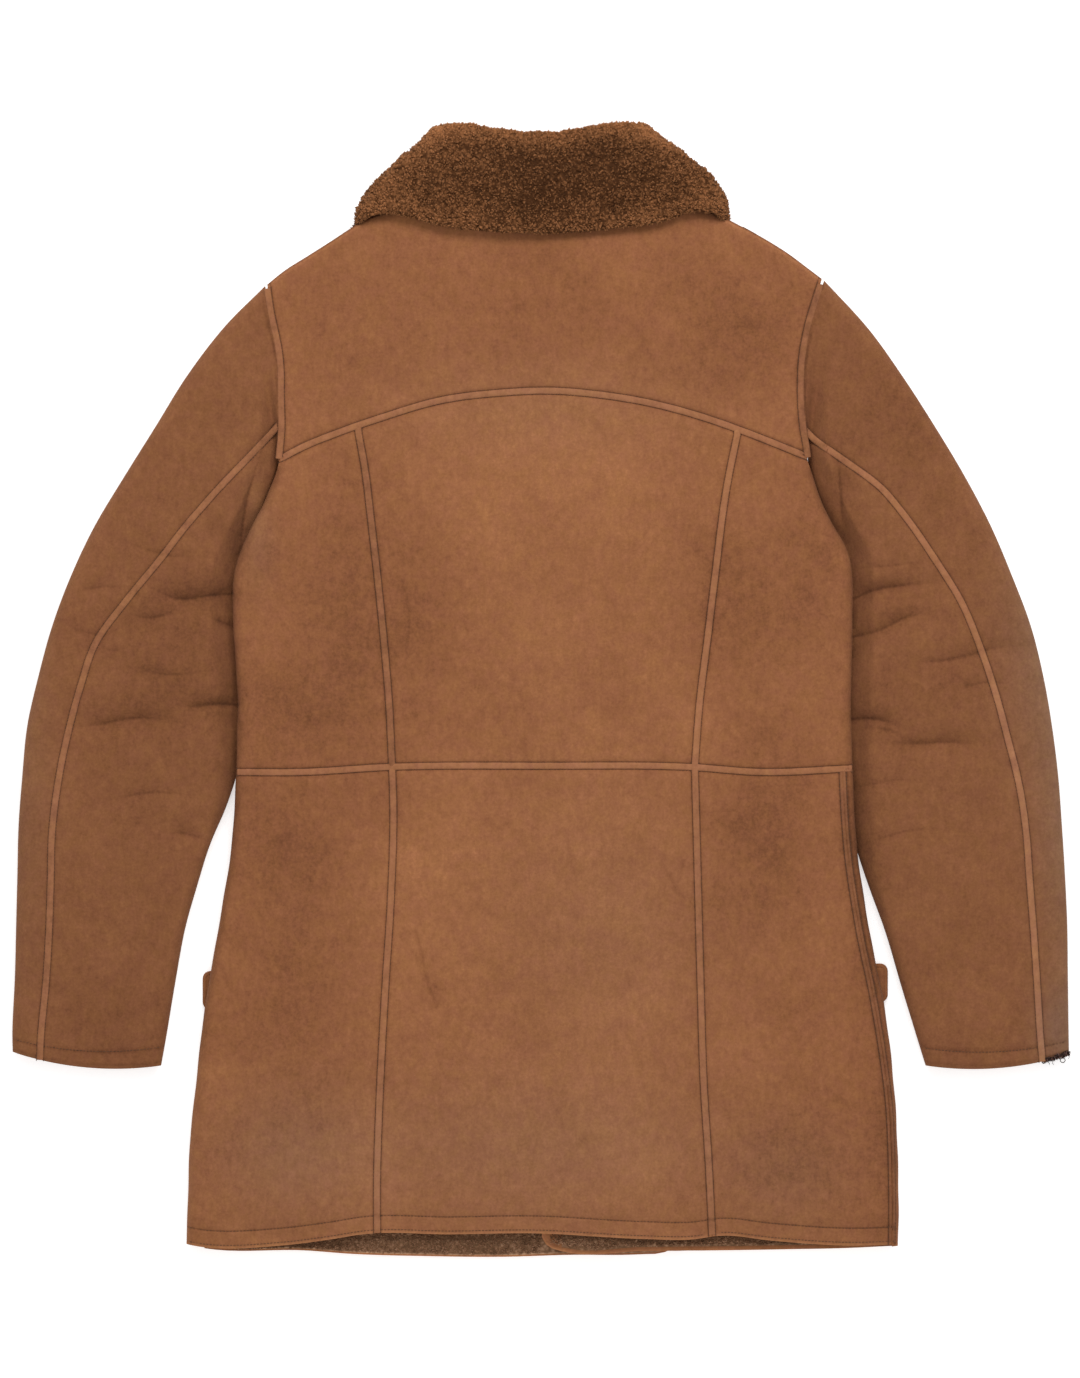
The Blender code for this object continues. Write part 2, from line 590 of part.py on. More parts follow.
def body_panels(group):
    """Builds the body and returns the panels whose side seams the straps follow."""
    under = lambda y: UNDER_SEAM
    left_under = lambda y: smooth(LEFT_EDGE, y) + UNDER_SEAM + UNDER_SEAM_GAP
    right_seam = lambda y: smooth(RIGHT_EDGE, y) - smooth(SIDE_SEAM_IN, y)
    yoke, waist, back_hem = curve(YOKE), curve(WAIST), curve(BACK_HEM)
    upper_left, upper_right = curve(LEFT_PRINCESS), curve(RIGHT_PRINCESS)
    skirt_left, skirt_right = curve(LEFT_SKIRT_SEAM), curve(RIGHT_SKIRT_SEAM)
    left_edge, right_edge = curve(LEFT_EDGE), curve(RIGHT_EDGE)
    overlap, underlap = (lambda y: OVERLAP_EDGE), (lambda y: UNDERLAP_EDGE)

    yoke_panel = Panel(curve(LEFT_ARMHOLE), curve(RIGHT_ARMHOLE), yoke, curve(SHOULDERS), NECK_COLUMNS,
                       crest=True)
    centre_upper = Panel(upper_left, upper_right, waist, yoke, NECK_COLUMNS)
    centre_skirt = Panel(skirt_left, skirt_right, back_hem, waist, hem=True)
    side_left = Panel(left_edge, upper_left, waist, yoke, NECK_COLUMNS, fold=-1)
    side_right = Panel(upper_right, right_edge, waist, yoke, NECK_COLUMNS, fold=1)
    skirt_side_left = Panel(left_edge, skirt_left, back_hem, waist, fold=-1, hem=True)
    skirt_side_right = Panel(skirt_right, right_seam, back_hem, waist, hem=True)

    slab("back_yoke", yoke_panel, back_bottom, back_top, group)
    slab("back_centre_upper", centre_upper, back_bottom, back_top, group)
    slab("back_centre_skirt", centre_skirt, back_bottom, back_top, group)
    folded_slab("back_side_upper_left", side_left, True, under, back_bottom, group)
    folded_slab("back_side_upper_right", side_right, True, under, back_bottom, group)
    folded_slab("back_side_skirt_left", skirt_side_left, True, under, back_bottom, group)
    slab("back_side_skirt_right", skirt_side_right, back_bottom, back_top, group)

    left_outer = armhole_or_side(LEFT_ARMHOLE, LEFT_EDGE, -1, LEFT_ARMPIT)
    right_outer = armhole_or_side(RIGHT_ARMHOLE, RIGHT_EDGE, 1, RIGHT_ARMPIT)
    left_top, right_top = curve(LEFT_FRONT_TOP), curve(RIGHT_FRONT_TOP)
    left_rows = rows_at_seam(side_left, left_edge, left_outer, waist, left_top, LEFT_ARMPIT)
    right_rows = rows_at_seam(side_right, right_edge, right_outer, waist, right_top, RIGHT_ARMPIT)
    step = FRONT_COLUMN_STEP
    slab("front_upper_left", Panel(left_outer, overlap, waist, left_top, UNDER_COLUMNS, crest=True,
                                   seam_rows=left_rows, column_step=step),
         left_front_low, left_front_top, group)
    slab("front_upper_right", Panel(underlap, right_outer, waist, right_top, UNDER_COLUMNS, crest=True,
                                    seam_rows=right_rows, column_step=step),
         right_front_bottom, right_front_top, group)
    slab("front_skirt_left", Panel(left_under, overlap, curve(LEFT_FRONT_HEM), waist, LEFT_FRONT_COLUMNS,
                                   hem=True, column_step=step), left_front_low, left_front_top, group)
    folded_slab("front_skirt_right", Panel(underlap, right_edge, curve(RIGHT_FRONT_HEM), waist, fold=1,
                                           hem=True, column_step=step),
                False, curve(SIDE_SEAM_IN), right_front_top, group)
    return centre_upper, centre_skirt, skirt_side_right


# ---- sleeves -----------------------------------------------------------------------------------

def sleeve_station(table, k):
    """Every column of a sleeve's table at a place k along it, in rows of the table."""
    rows = np.asarray(table, float)
    order = np.arange(len(rows))
    return {name: float(smooth(np.column_stack([order, rows[:, i]]), k))
            for i, name in enumerate(SLEEVE_COLUMNS)}


def sleeve_plan(table, armhole, k, u):
    """Plan points across a sleeve at k. The first section follows the armhole's curve."""
    s = sleeve_station(table, k)
    along_x, along_y = s["inner_x"] - s["outer_x"], s["inner_y"] - s["outer_y"]
    width = math.hypot(along_x, along_y)
    side = math.copysign(1.0, along_x)
    bow = 4 * s["bow"] * u * (1 - u)
    x = s["outer_x"] + along_x * u + side * along_y / width * bow
    y = s["outer_y"] + along_y * u - side * along_x / width * bow
    first = table[0]
    first_y = first[1] + (first[3] - first[1]) * u
    first_x = first[0] + (first[2] - first[0]) * u
    x = x + max(0.0, 1 - k / 3) * (smooth(armhole, first_y) - side * ARMHOLE_GAP - first_x)
    return x, y, width, s


def sleeve_faces(table, armhole, k, u, swing, depth=0.0):
    """Points on a sleeve's section: swing is 1 on its upper face, -1 underneath, 0 at its folds."""
    x, y, _, s = sleeve_plan(table, armhole, k, u)
    height = np.full(np.shape(x), s["height"])
    if k > 0.3:
        height = np.minimum(height, over_sleeve(x, y))
    middle = height / 2
    top = height - crease_depth(x, y)
    z = middle + np.where(swing > 0, swing * (top - middle), swing * middle)
    return points(x, y, z), middle


def sleeve_ring(table, armhole, k, piece):
    """One ring of the top sleeve or of the under sleeve."""
    _, _, width, s = sleeve_plan(table, armhole, k, np.array([0.0, 1.0]))
    gap = SEAM_GAP / 2 / width
    flat = SLEEVE_FOLD / width
    arc = np.linspace(math.pi / 2, -math.pi / 2, 5)
    arc_in = SLEEVE_FOLD * (1 - np.cos(arc)) / width
    slit_in = (SLEEVE_FOLD - 1.5 + 1.5 * (1 - np.cos(arc))) / width
    hind, forearm = s["hind"], FOREARM_SEAM
    if piece == "top":
        above = np.linspace(hind - gap, flat, 4)[:-1]
        below = np.linspace(flat, forearm - gap, 5)[1:]
        u, slit_u = np.concatenate([above, arc_in, below]), np.concatenate([above, slit_in, below])
    else:
        above = np.linspace(hind + gap, 1 - flat, 9)[:-1]
        below = np.linspace(1 - flat, forearm + gap, 2)[1:]
        u = np.concatenate([above, 1 - arc_in, below])
        slit_u = np.concatenate([above, 1 - slit_in, below])
    swing = np.concatenate([np.ones(len(above)), np.sin(arc), -np.ones(len(below))])
    outer, _ = sleeve_faces(table, armhole, k, u, swing)
    inner, middle = sleeve_faces(table, armhole, k, slit_u, swing)
    inner[:, 2] = middle + SLEEVE_SLIT * swing
    return outer, inner


def sleeve_places():
    """Places along a sleeve: close together where it creases and at the cuff."""
    return np.concatenate([[0.03, 0.5, 1.2, 2.1], np.arange(3.0, 10.5, 0.6),
                           [11.2, 12.3, 13.4, 14.5, 15.2, 15.7, 16.0]])


def sleeves(group):
    for name, table, armhole in (("left", LEFT_SLEEVE, LEFT_ARMHOLE),
                                 ("right", RIGHT_SLEEVE, RIGHT_ARMHOLE)):
        for piece in ("top", "under"):
            rings = [sleeve_ring(table, armhole, k, piece) for k in sleeve_places()]
            loft(f"sleeve_{name}_{piece}", rings, SUEDE, group)


# ---- collar ------------------------------------------------------------------------------------

FALL_LEVELS = np.array([1.0, 0.94, 0.75, 0.5, 0.25, 0.06])
FALL_OFFSETS = np.array([5.5, 9.2, 10.0, 10.0, 10.0, 9.0]) * COLLAR_HIDE / 10
FALL_INNER = np.array([1.0, 0.94, 0.75, 0.5, 0.28, 0.17])
ROLL_OFFSETS = np.array([5.5, 0.5, -4.0])
STAND_LEVELS = np.array([0.06, 0.35, 0.7, 1.0])
STAND_INNER = np.array([0.22, 0.4, 0.7, 1.0])


def neck_slit(x, y, roll_y):
    """The height between the collar's stand and its fall, over the back."""
    neck_y = smooth(NECK_SEAM, x)
    roll = 27.0 - 9.0 * np.clip(1 - ((x - CENTRE) / 75) ** 2, 0, 1)
    seat = back_flat(x, np.minimum(y, neck_y - 2)) + COLLAR_SEAT
    return roll + (seat - roll) * ease((roll_y - y) / (roll_y - neck_y))


def fold_bow(side, level):
    """How far the fold on this side bows out between the roll and the fall's edge."""
    depth, lean = COLLAR_BOW[side]
    return side * depth * np.sin(math.pi * level ** lean)


def collar_back(share, level, stand):
    """A plan point and the slit's height over the back: share runs from fold to fold."""
    inset = STAND_FOLD if stand else COLLAR_FOLD
    roll_from, roll_to = COLLAR_ROLL[0][0], COLLAR_ROLL[-1][0]
    far = NECK_SEAM if stand else COLLAR_EDGE
    near_inset = inset + (COLLAR_HIDE if stand else 0)
    roll_x = roll_from + near_inset + (roll_to - roll_from - 2 * near_inset) * share
    far_x = far[0][0] + inset + (far[-1][0] - far[0][0] - 2 * inset) * share
    roll_y = smooth(COLLAR_ROLL, roll_x)
    x = roll_x + (far_x - roll_x) * level
    y = roll_y + (smooth(far, far_x) - roll_y) * level
    if not stand:
        x = x + fold_bow(1 if share > 0.5 else -1, level) * abs(2 * share - 1) ** 3
    return x, y, neck_slit(x, y, roll_y)


def collar_leaf(share, level, stand):
    """The same underneath, on the left: share runs from the fold to the front end."""
    roll_x, roll_y = route(LEAF_ROLL, share)
    far_x, far_y = route(LEAF_NECK if stand else LEAF_EDGE, share)
    if stand:
        roll_x = roll_x + (COLLAR_HIDE - 2) * (1 - share)
    return roll_x + (far_x - roll_x) * level, roll_y + (far_y - roll_y) * level


def collar_row(kind, where, level, offset, stand):
    """Points of one ring for levels between the roll and an edge. Offsets go outwards, towards the
    fleece of the fall; where is an angle at a fold or a share along a flat stretch."""
    if kind == "back":
        x, y, slit = collar_back(where, level, stand)
        return points(x, y, slit + offset)
    side, place = where
    leaf_share = place if kind == "leaf" else 0.0
    leaf_x, leaf_y = collar_leaf(leaf_share, level, stand)
    leaf_z = LEAF_SLIT * (1 - offset / COLLAR_HIDE)
    if side > 0:
        leaf_x = 2 * CENTRE - leaf_x
    if not stand:
        leaf_x = leaf_x + fold_bow(side, level) * (1 - leaf_share) ** 3
    if kind == "leaf":
        return points(leaf_x, leaf_y, leaf_z)
    back_x, back_y, slit = collar_back(0.0 if side < 0 else 1.0, level, stand)
    back_z = slit + offset
    turn = math.sin(place)
    inset = STAND_FOLD if stand else COLLAR_FOLD
    wall = (COLLAR_HIDE - offset) * (STAND_FOLD - 5) / (COLLAR_HIDE + STAND_HIDE) if stand else \
        np.clip(COLLAR_HIDE - offset, 0, COLLAR_HIDE) * 0.8
    middle_x = 0.5 * (back_x + leaf_x)
    bulge = (inset - wall) * math.cos(place)
    x = middle_x + turn * 0.5 * (back_x - leaf_x) + side * bulge
    y = 0.5 * (back_y + leaf_y) + turn * 0.5 * (back_y - leaf_y)
    z = 0.5 * (back_z + leaf_z) + turn * 0.5 * (back_z - leaf_z)
    return points(x, y, z)


def collar_ring(kind, where):
    fall = collar_row(kind, where, FALL_LEVELS, FALL_OFFSETS, False)
    fall_inner = collar_row(kind, where, FALL_INNER, np.full(len(FALL_INNER), 0.7), False)
    stand = collar_row(kind, where, STAND_LEVELS, np.array([-7.0, -8.0, -8.0, -7.6]), True)
    stand_inner = collar_row(kind, where, STAND_INNER, np.full(len(STAND_INNER), -0.7), True)
    over = collar_row(kind, where, np.zeros(3), ROLL_OFFSETS, False)
    under = collar_row(kind, where, np.zeros(3), ROLL_OFFSETS, True)
    blend = np.array([0.0, 0.35, 0.8])[:, None]
    roll = over * (1 - blend) + under * blend
    tip_share = np.array([0.3, 0.6, 0.9])[:, None]
    tip = fall_inner[-1] * (1 - tip_share) + stand_inner[0] * tip_share
    toward = (roll[1] - tip[1]) * 0.15
    tip = tip + toward
    return np.vstack([fall, roll, stand]), np.vstack([fall_inner, tip, stand_inner])


def collar(group):
    rings = [collar_ring("leaf", (-1, share)) for share in (0.9, 0.6, 0.3)]
    rings += [collar_ring("fold", (-1, angle)) for angle in np.radians([-90, -55, -20, 20, 55])]
    rings += [collar_ring("back", share) for share in np.linspace(0, 1, 10)]
    rings += [collar_ring("fold", (1, angle)) for angle in np.radians([55, 20, -20, -55, -90])]
    rings += [collar_ring("leaf", (1, share)) for share in (0.3, 0.6, 0.9)]
    loft("collar", rings, FLEECE, group)


# ---- seam straps -------------------------------------------------------------------------------

def faces_below(names, reach=0.6):
    """height(x, y) of the uppermost of the named pieces, also across the gap of a seam."""
    trees = []
    for name in names:
        mesh = bpy.data.objects[name].data
        trees.append(BVHTree.FromPolygons([v.co / MM for v in mesh.vertices],
                                          [p.vertices for p in mesh.polygons]))

    def height(x, y):
        hits = []
        for tree in trees:
            for right, up in ((0, 0), (1, 1), (-1, 1), (1, -1), (-1, -1)):
                start = (x + reach * right, y + reach * up, 100.0)
                spot = tree.ray_cast(start, (0.0, 0.0, -1.0))[0]
                if spot is not None:
                    hits.append(spot.z)
        return max(hits)
    return height


def strap(name, x, y, height, group):
    """A thin band along a plan path, on the face that height(x, y) gives."""
    step_x, step_y = np.gradient(x), np.gradient(y)
    length = np.hypot(step_x, step_y)
    across = np.column_stack([-step_y / length, step_x / length])
    half = STRIP_WIDTH / 2
    offsets = np.array([-half, 0.0, half])
    spots = np.stack([x, y], axis=1)[:, None, :] + across[:, None, :] * offsets[:, None]
    low = np.array([[height(*spot) for spot in row] for row in spots])
    shares = np.linspace(0, 1, 5)
    for i in range(len(x) - 1):
        for j in range(2):
            corners = spots[i:i + 2, j:j + 2].reshape(4, 2)
            heights = low[i:i + 2, j:j + 2].reshape(4)
            for u in shares:
                for v in shares:
                    weights = np.array([(1 - u) * (1 - v), (1 - u) * v, u * (1 - v), u * v])
                    excess = height(*(weights @ corners)) - float(weights @ heights)
                    if excess > 0:
                        low[i:i + 2, j:j + 2] += excess
                        heights = low[i:i + 2, j:j + 2].reshape(4)
    rings = []
    for i in range(len(x)):
        outer_spots = np.stack([x[i] + across[i, 0] * offsets * 0.74, y[i] + across[i, 1] * offsets * 0.74])
        outer_z = low[i, 1] + 0.74 * (low[i] - low[i, 1]) + STRIP_PROUD + np.array([0, 0.3, 0])
        rings.append((points(*outer_spots, outer_z), points(*spots[i].T, low[i] + STRIP_SEAT)))
    return loft(name, rings, SUEDE, group)


def seam_straps(group, centre_upper, centre_skirt, skirt_side_right):
    """The bands that cover the seams of the upper side."""
    backs = [obj.name for obj in group.objects if obj.name.startswith("back_")]
    on_back = faces_below(backs + ["front_skirt_right"])
    clear = STRIP_WIDTH / 2 + 0.9

    def upright(name, panel, seam, low_clear=clear):
        spots = np.array([panel.end(seam, v) for v in panel.rows])
        low, high = spots[0, 1] + low_clear, spots[-1, 1] - clear
        between_ends = spots[(spots[:, 1] > low + 1) & (spots[:, 1] < high - 1), 1]
        y = np.concatenate([[low], between_ends, [high]])
        return strap(name, seam(y), y, on_back, group)

    def level(name, table, columns):
        x = np.array(columns, float)
        return strap(name, x, smooth(table, x), on_back, group)

    level("strap_yoke", YOKE, (-200,) + NECK_COLUMNS[1:-1] + (206,))
    level("strap_waist", WAIST, (-232, -212, -190, -166, -142, -118) + OVERLAP_COLUMNS
          + (146, 170, 194, 218, 240))
    upright("strap_upper_left", centre_upper, centre_upper.left)
    upright("strap_upper_right", centre_upper, centre_upper.right)
    upright("strap_skirt_left", centre_skirt, centre_skirt.left, 1.0)
    upright("strap_skirt_right", centre_skirt, centre_skirt.right, 1.0)
    upright("strap_side_right", skirt_side_right, skirt_side_right.right, 1.0)
    for name, armhole, start, end in (("left", LEFT_ARMHOLE, 195.5, 314), ("right", RIGHT_ARMHOLE, 197, 316)):
        both = faces_below(["back_yoke", f"sleeve_{name}_top", f"sleeve_{name}_under"], 1.4)
        y = np.linspace(start, end, 11)
        strap(f"strap_armhole_{name}", smooth(armhole, y), y, both, group)
    for name, table, armhole in (("left", LEFT_SLEEVE, LEFT_ARMHOLE),
                                 ("right", RIGHT_SLEEVE, RIGHT_ARMHOLE)):
        places = np.concatenate([[0.62], sleeve_places()[2:-1], [15.92]])
        spots = [sleeve_plan(table, armhole, k, sleeve_station(table, k)["hind"])[:2] for k in places]
        x, y = np.array(spots, float).T
        strap(f"strap_sleeve_{name}", x, y, faces_below([f"sleeve_{name}_top", f"sleeve_{name}_under"]),
              group)


# ---- buttons and flaps -------------------------------------------------------------------------

def rounded_box(name, centre, size, radius, grow=0.0):
    """A flat plate with rounded corners, standing on z = 0."""
    bm = bmesh.new()
    bmesh.ops.create_cube(bm, size=1.0)
    full = np.array(size) + (2 * grow, 2 * grow, grow)
    for vert in bm.verts:
        vert.co = [(centre[i] + vert.co[i] * full[i]) * MM for i in (0, 1)] + \
            [((vert.co[2] + 0.5) * full[2]) * MM]
    upright = [e for e in bm.edges if abs(e.verts[0].co.z - e.verts[1].co.z) > 1e-6]
    bmesh.ops.bevel(bm, geom=upright, offset=radius * MM, segments=3, affect="EDGES", profile=0.5)
    mesh = bpy.data.meshes.new(name)
    bm.to_mesh(mesh)
    bm.free()
    return mesh


def disc(name, centre, radius, height, grow=0.0):
    bm = bmesh.new()
    bmesh.ops.create_cone(bm, cap_ends=True, segments=24, radius1=(radius + grow) * MM,
                          radius2=(radius + grow) * MM, depth=(height + grow) * MM)
    lift = (height + grow) / 2
    bmesh.ops.translate(bm, verts=bm.verts[:], vec=(centre[0] * MM, centre[1] * MM, lift * MM))
    mesh = bpy.data.meshes.new(name)
    bm.to_mesh(mesh)
    bm.free()
    return mesh


def cut(walls, name, mesh, cutters):
    """Press a piece's room into the walls it lies against."""
    cutter = bpy.data.objects.new(name, mesh)
    cutter.hide_render = True
    cutter.display_type = "WIRE"
    cutter.location.z = -0.001
    cutters.objects.link(cutter)
    for wall in walls:
        boolean = bpy.data.objects[wall].modifiers.new(name, "BOOLEAN")
        boolean.operation = "DIFFERENCE"
        boolean.object = cutter


def fastenings(group, cutters):
    for number, y in enumerate(BUTTON_YS, start=1):
        name = f"button_{number}"
        spot = (BUTTON_X, y)
        add_object(name, disc(name, spot, BUTTON_RADIUS, BUTTON_HEIGHT), HORN, group, 0.35)
        hole = disc(f"room_{name}", spot, BUTTON_RADIUS, BUTTON_HEIGHT + 1.0, PRESS_ROOM)
        wall = "front_upper_left" if y > -61 else "front_skirt_left"
        cut([wall], f"room_{name}", hole, cutters)
    for side, centre, walls in (("left", LEFT_FLAP, ["front_skirt_left", "back_side_skirt_left"]),
                                ("right", RIGHT_FLAP, ["front_skirt_right"])):
        name = f"pocket_flap_{side}"
        add_object(name, rounded_box(name, centre, FLAP_SIZE, FLAP_CORNER), SUEDE, group)
        room = (FLAP_SIZE[0], FLAP_SIZE[1], FLAP_SIZE[2] + 1.0)
        cut(walls, f"room_{name}", rounded_box(f"room_{name}", centre, room, FLAP_CORNER, PRESS_ROOM),
            cutters)


def main():
    for obj in list(bpy.data.objects):
        bpy.data.objects.remove(obj, do_unlink=True)
    group = collection("shearling_coat")
    cutters = collection("cutters")
    panels = body_panels(group)
    sleeves(group)
    collar(group)
    seam_straps(group, *panels)
    fastenings(group, cutters)


main()
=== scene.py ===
"""Looks of the shearling coat that lies flat on its front: napped suede panels with fleece inside, strapped
and stitched seams, a curly fleece collar, worn cuffs, and the photograph's view from straight above.

Tables and sizes are in millimetres, as in the part's own source; meshes are in metres.
"""
import json
import math

import bmesh
import bpy
import numpy as np
from mathutils.bvhtree import BVHTree
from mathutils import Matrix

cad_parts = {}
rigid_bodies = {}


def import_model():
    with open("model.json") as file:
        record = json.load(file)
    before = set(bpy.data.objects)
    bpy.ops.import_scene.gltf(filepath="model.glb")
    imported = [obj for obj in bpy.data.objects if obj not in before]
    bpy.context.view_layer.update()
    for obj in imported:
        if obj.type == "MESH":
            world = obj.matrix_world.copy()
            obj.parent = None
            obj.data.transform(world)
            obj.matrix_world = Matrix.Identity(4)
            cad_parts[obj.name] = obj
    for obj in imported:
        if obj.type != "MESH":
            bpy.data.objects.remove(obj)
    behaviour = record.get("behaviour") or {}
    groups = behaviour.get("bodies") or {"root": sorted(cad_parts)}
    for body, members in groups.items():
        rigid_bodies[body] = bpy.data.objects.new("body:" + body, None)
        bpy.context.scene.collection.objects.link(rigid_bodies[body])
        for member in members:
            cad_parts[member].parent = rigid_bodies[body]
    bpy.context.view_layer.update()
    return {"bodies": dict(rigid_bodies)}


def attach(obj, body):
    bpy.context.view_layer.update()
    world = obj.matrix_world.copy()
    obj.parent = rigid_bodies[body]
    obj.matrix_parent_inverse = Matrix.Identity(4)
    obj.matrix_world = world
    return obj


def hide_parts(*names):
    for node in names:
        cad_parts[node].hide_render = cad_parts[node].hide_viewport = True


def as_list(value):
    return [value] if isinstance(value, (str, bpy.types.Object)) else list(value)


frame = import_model()

MM = 0.001
HIDE = 11.0
PLY_GAP = 1.2
RAMP_GAP = 0.8
HALF_SEAM = 0.18
FOLD_RADIUS = 9.0
UNDER_SEAM = 14.0
HEM_THIN = 0.41
HEM_DEPTH = 26.0
SLEEVE_TUCK = 8.5
TUCK_WIDTH = 30.0
WIDE_TUCK = 60.0
MIDDLE_TUCK = 0.4
LEFT_TUCK_END = (-57, -97)
RIGHT_TUCK_END = (-105, -145)
SLEEVE_CLEAR = 0.7
ARMHOLE_GAP = 0.7
SLEEVE_FOLD = 11.0
SLEEVE_SLIT = 0.6
SHOULDER_LIP = 3.5
COLLAR_HIDE = 10.0
STAND_HIDE = 8.0
COLLAR_SEAT = 1.2
LEAF_SLIT = 6.8
LEAF = 7.0
UNDERLAP_EDGE, OVERLAP_EDGE = 1.6, 108.8
EDGE_TAPER, TAPER_START, TAPER_END, FLOOR_START = 7.0, 84.8, 109.8, 118.0
UNDERLAP_TAPER, UNDERLAP_FULL = 8.0, 25.0
LEAF_SPAN = [(0, 1.0), (122, 1.0), (146, 0.85), (164, 0.45), (184, 0.1), (196, 0.0), (300, 0.0)]
LEAF_RISE = (168, 292)
LEFT_ARMPIT, RIGHT_ARMPIT = 184.6, 187.2
GROOVE = 2.85          # from a seam to the stitch line beside its strap
STITCH_PITCH = 2.7
THREAD = 0.30          # half a stitch's thickness
HEM_STITCH = 14.3      # from the hem's edge to its stitch line
CUFF_STITCH = 13.2     # the same at the cuffs
CENTRE = 2.0
SEAM_ROOM = 0.4        # between a front's edge and the side seam underneath
FOLD_ROOM = 10.0       # left free for the fleece in a folded side
STRAP_STEP = 2.4
STRAP_REACH = 4.6      # from a seam to where the face beside its strap is measured
HOLE = 3.0             # from a button's centre to its holes, along both axes
SHARP = 50             # degrees between faces at a sharp edge
COLLAR_CURLS, END_CURLS, HEM_CURLS, FRAYED_FIBRES = 22500, 420, 9000, 1500

YOKE = [(-208, 184), (-191, 193), (-159, 206), (-127, 217), (-79, 231), (-31, 237), (5, 238.5),
        (49, 235), (81, 230), (129, 218), (169, 204), (214, 186)]
WAIST = [(-243, -66), (-191, -66), (-121, -62), (1, -61), (121, -62), (177, -66), (250, -63)]
SHOULDERS = [(-218, 324), (-205, 334.5), (-186, 346.5), (-166, 359), (-152, 368), (-138, 376), (-118, 384),
             (-92, 396), (-60, 389), (2, 386), (64, 389), (98, 396), (121, 387), (142, 380), (158, 372),
             (180, 360.5), (200, 348), (216, 336), (226, 328.5)]
LEFT_FRONT_TOP = [(-218, 324), (-205, 334.5), (-186, 346.5), (-166, 359), (-152, 366), (-138, 366),
                  (-118, 380), (-92, 396), (-79, 371), (-55, 347), (-23, 335), (2, 332), (65, 332),
                  (109, 332)]
RIGHT_FRONT_TOP = [(1, 332), (30, 335), (62, 347), (86, 371), (98, 396), (121, 381), (142, 368),
                   (158, 371.5), (180, 360.5), (200, 348), (216, 336), (226, 328.5)]
BACK_HEM = [(-283, -444), (-271, -446), (-207, -445), (-167, -440), (-142, -436), (-71, -436), (1, -435),
            (81, -439), (121, -440), (146, -437), (185, -441), (249, -445), (287, -444)]
LEFT_FRONT_HEM = [(-283, -445), (-266, -448), (-186, -449.5), (-154, -452), (-90, -454), (-26, -454.5),
                  (22, -453), (81, -452.5), (100, -451), (109, -447)]
RIGHT_FRONT_HEM = [(1, -437), (5, -444), (14, -448.5), (25, -451), (81, -449.5), (129, -449.5),
                   (198, -448.5), (246, -447.5), (287, -445.5)]
LEFT_EDGE = [(-444, -283), (-409, -281.6), (-369, -280), (-329, -276.8), (-289, -272), (-249, -267.2),
             (-189, -256.8), (-129, -247.2), (-65, -242.8), (-9, -241.6), (51, -244.8), (83, -245.6),
             (111, -239.2), (135, -228), (147, -221.6), (159, -217), (171, -212), (186, -207.5)]
RIGHT_EDGE = [(-444, 287.2), (-409, 287.2), (-369, 286.4), (-329, 284.8), (-289, 280.8), (-249, 275.2),
              (-189, 263.2), (-129, 254.4), (-65, 250.4), (-9, 249.2), (51, 250), (83, 250.4),
              (111, 246.4), (135, 232.8), (147, 227.2), (159, 222.4), (171, 218.4), (186, 213.5)]
LEFT_ARMHOLE = [(184, -208.5), (207, -206.4), (231, -206.8), (263, -207.6), (279, -210), (295, -213.6),
                (311, -216.4), (324, -218)]
RIGHT_ARMHOLE = [(184, 214.5), (191, 213.6), (211, 210.4), (231, 208.8), (247, 208.8), (263, 209.6),
                 (279, 212), (295, 215.6), (311, 220.5), (328.5, 226)]
LEFT_PRINCESS = [(-61, -118), (-9, -120.5), (39, -124.5), (87, -129.3), (139, -135.2), (175, -139.5),
                 (206, -145)]
RIGHT_PRINCESS = [(-61, 124), (-9, 128), (39, 134), (87, 139.8), (167, 150.5), (204, 158)]
LEFT_SKIRT_SEAM = [(-438, -130), (-393, -130), (-329, -128), (-233, -123), (-169, -119), (-89, -117),
                   (-61, -118)]
RIGHT_SKIRT_SEAM = [(-438, 138), (-377, 135), (-313, 131), (-249, 129), (-137, 126), (-61, 124)]
SIDE_SEAM_IN = [(-444, 5.5), (-345, 5.5), (-249, 8), (-153, 8.3), (-63, 8.5)]

SLEEVE_COLUMNS = ("outer_x", "outer_y", "inner_x", "inner_y", "bow", "hind", "height")
LEFT_SLEEVE = [
    (-218, 324, -208.5, 186, 0, 0.80, 22.4), (-252, 290, -208.5, 173, 0, 0.75, 24.0),
    (-282, 251, -217, 149, 0, 0.68, 25.0), (-307, 211, -231, 121, 0, 0.61, 25.5),
    (-332, 171, -236, 91, 0, 0.51, 26.0), (-356, 131, -235, 61, 0, 0.42, 26.0),
    (-375, 91, -235, 29, 0, 0.32, 26.0), (-390, 51, -234, -4, 0, 0.23, 26.0),
    (-401, 11, -236, -36, 0, 0.205, 26.0), (-410, -29, -242, -66, 1, 0.195, 25.5),
    (-414, -69, -251, -94, 2, 0.18, 25.0), (-417, -109, -264, -125, 3, 0.18, 24.5),
    (-418, -149, -274, -157, 4, 0.19, 24.0), (-419, -189, -284, -193, 5, 0.20, 23.5),
    (-420, -229, -292, -237, 6, 0.20, 22.5), (-422, -269, -298, -273, 6.5, 0.19, 20.0),
    (-422, -290, -303, -301, 7, 0.19, 15.0)]
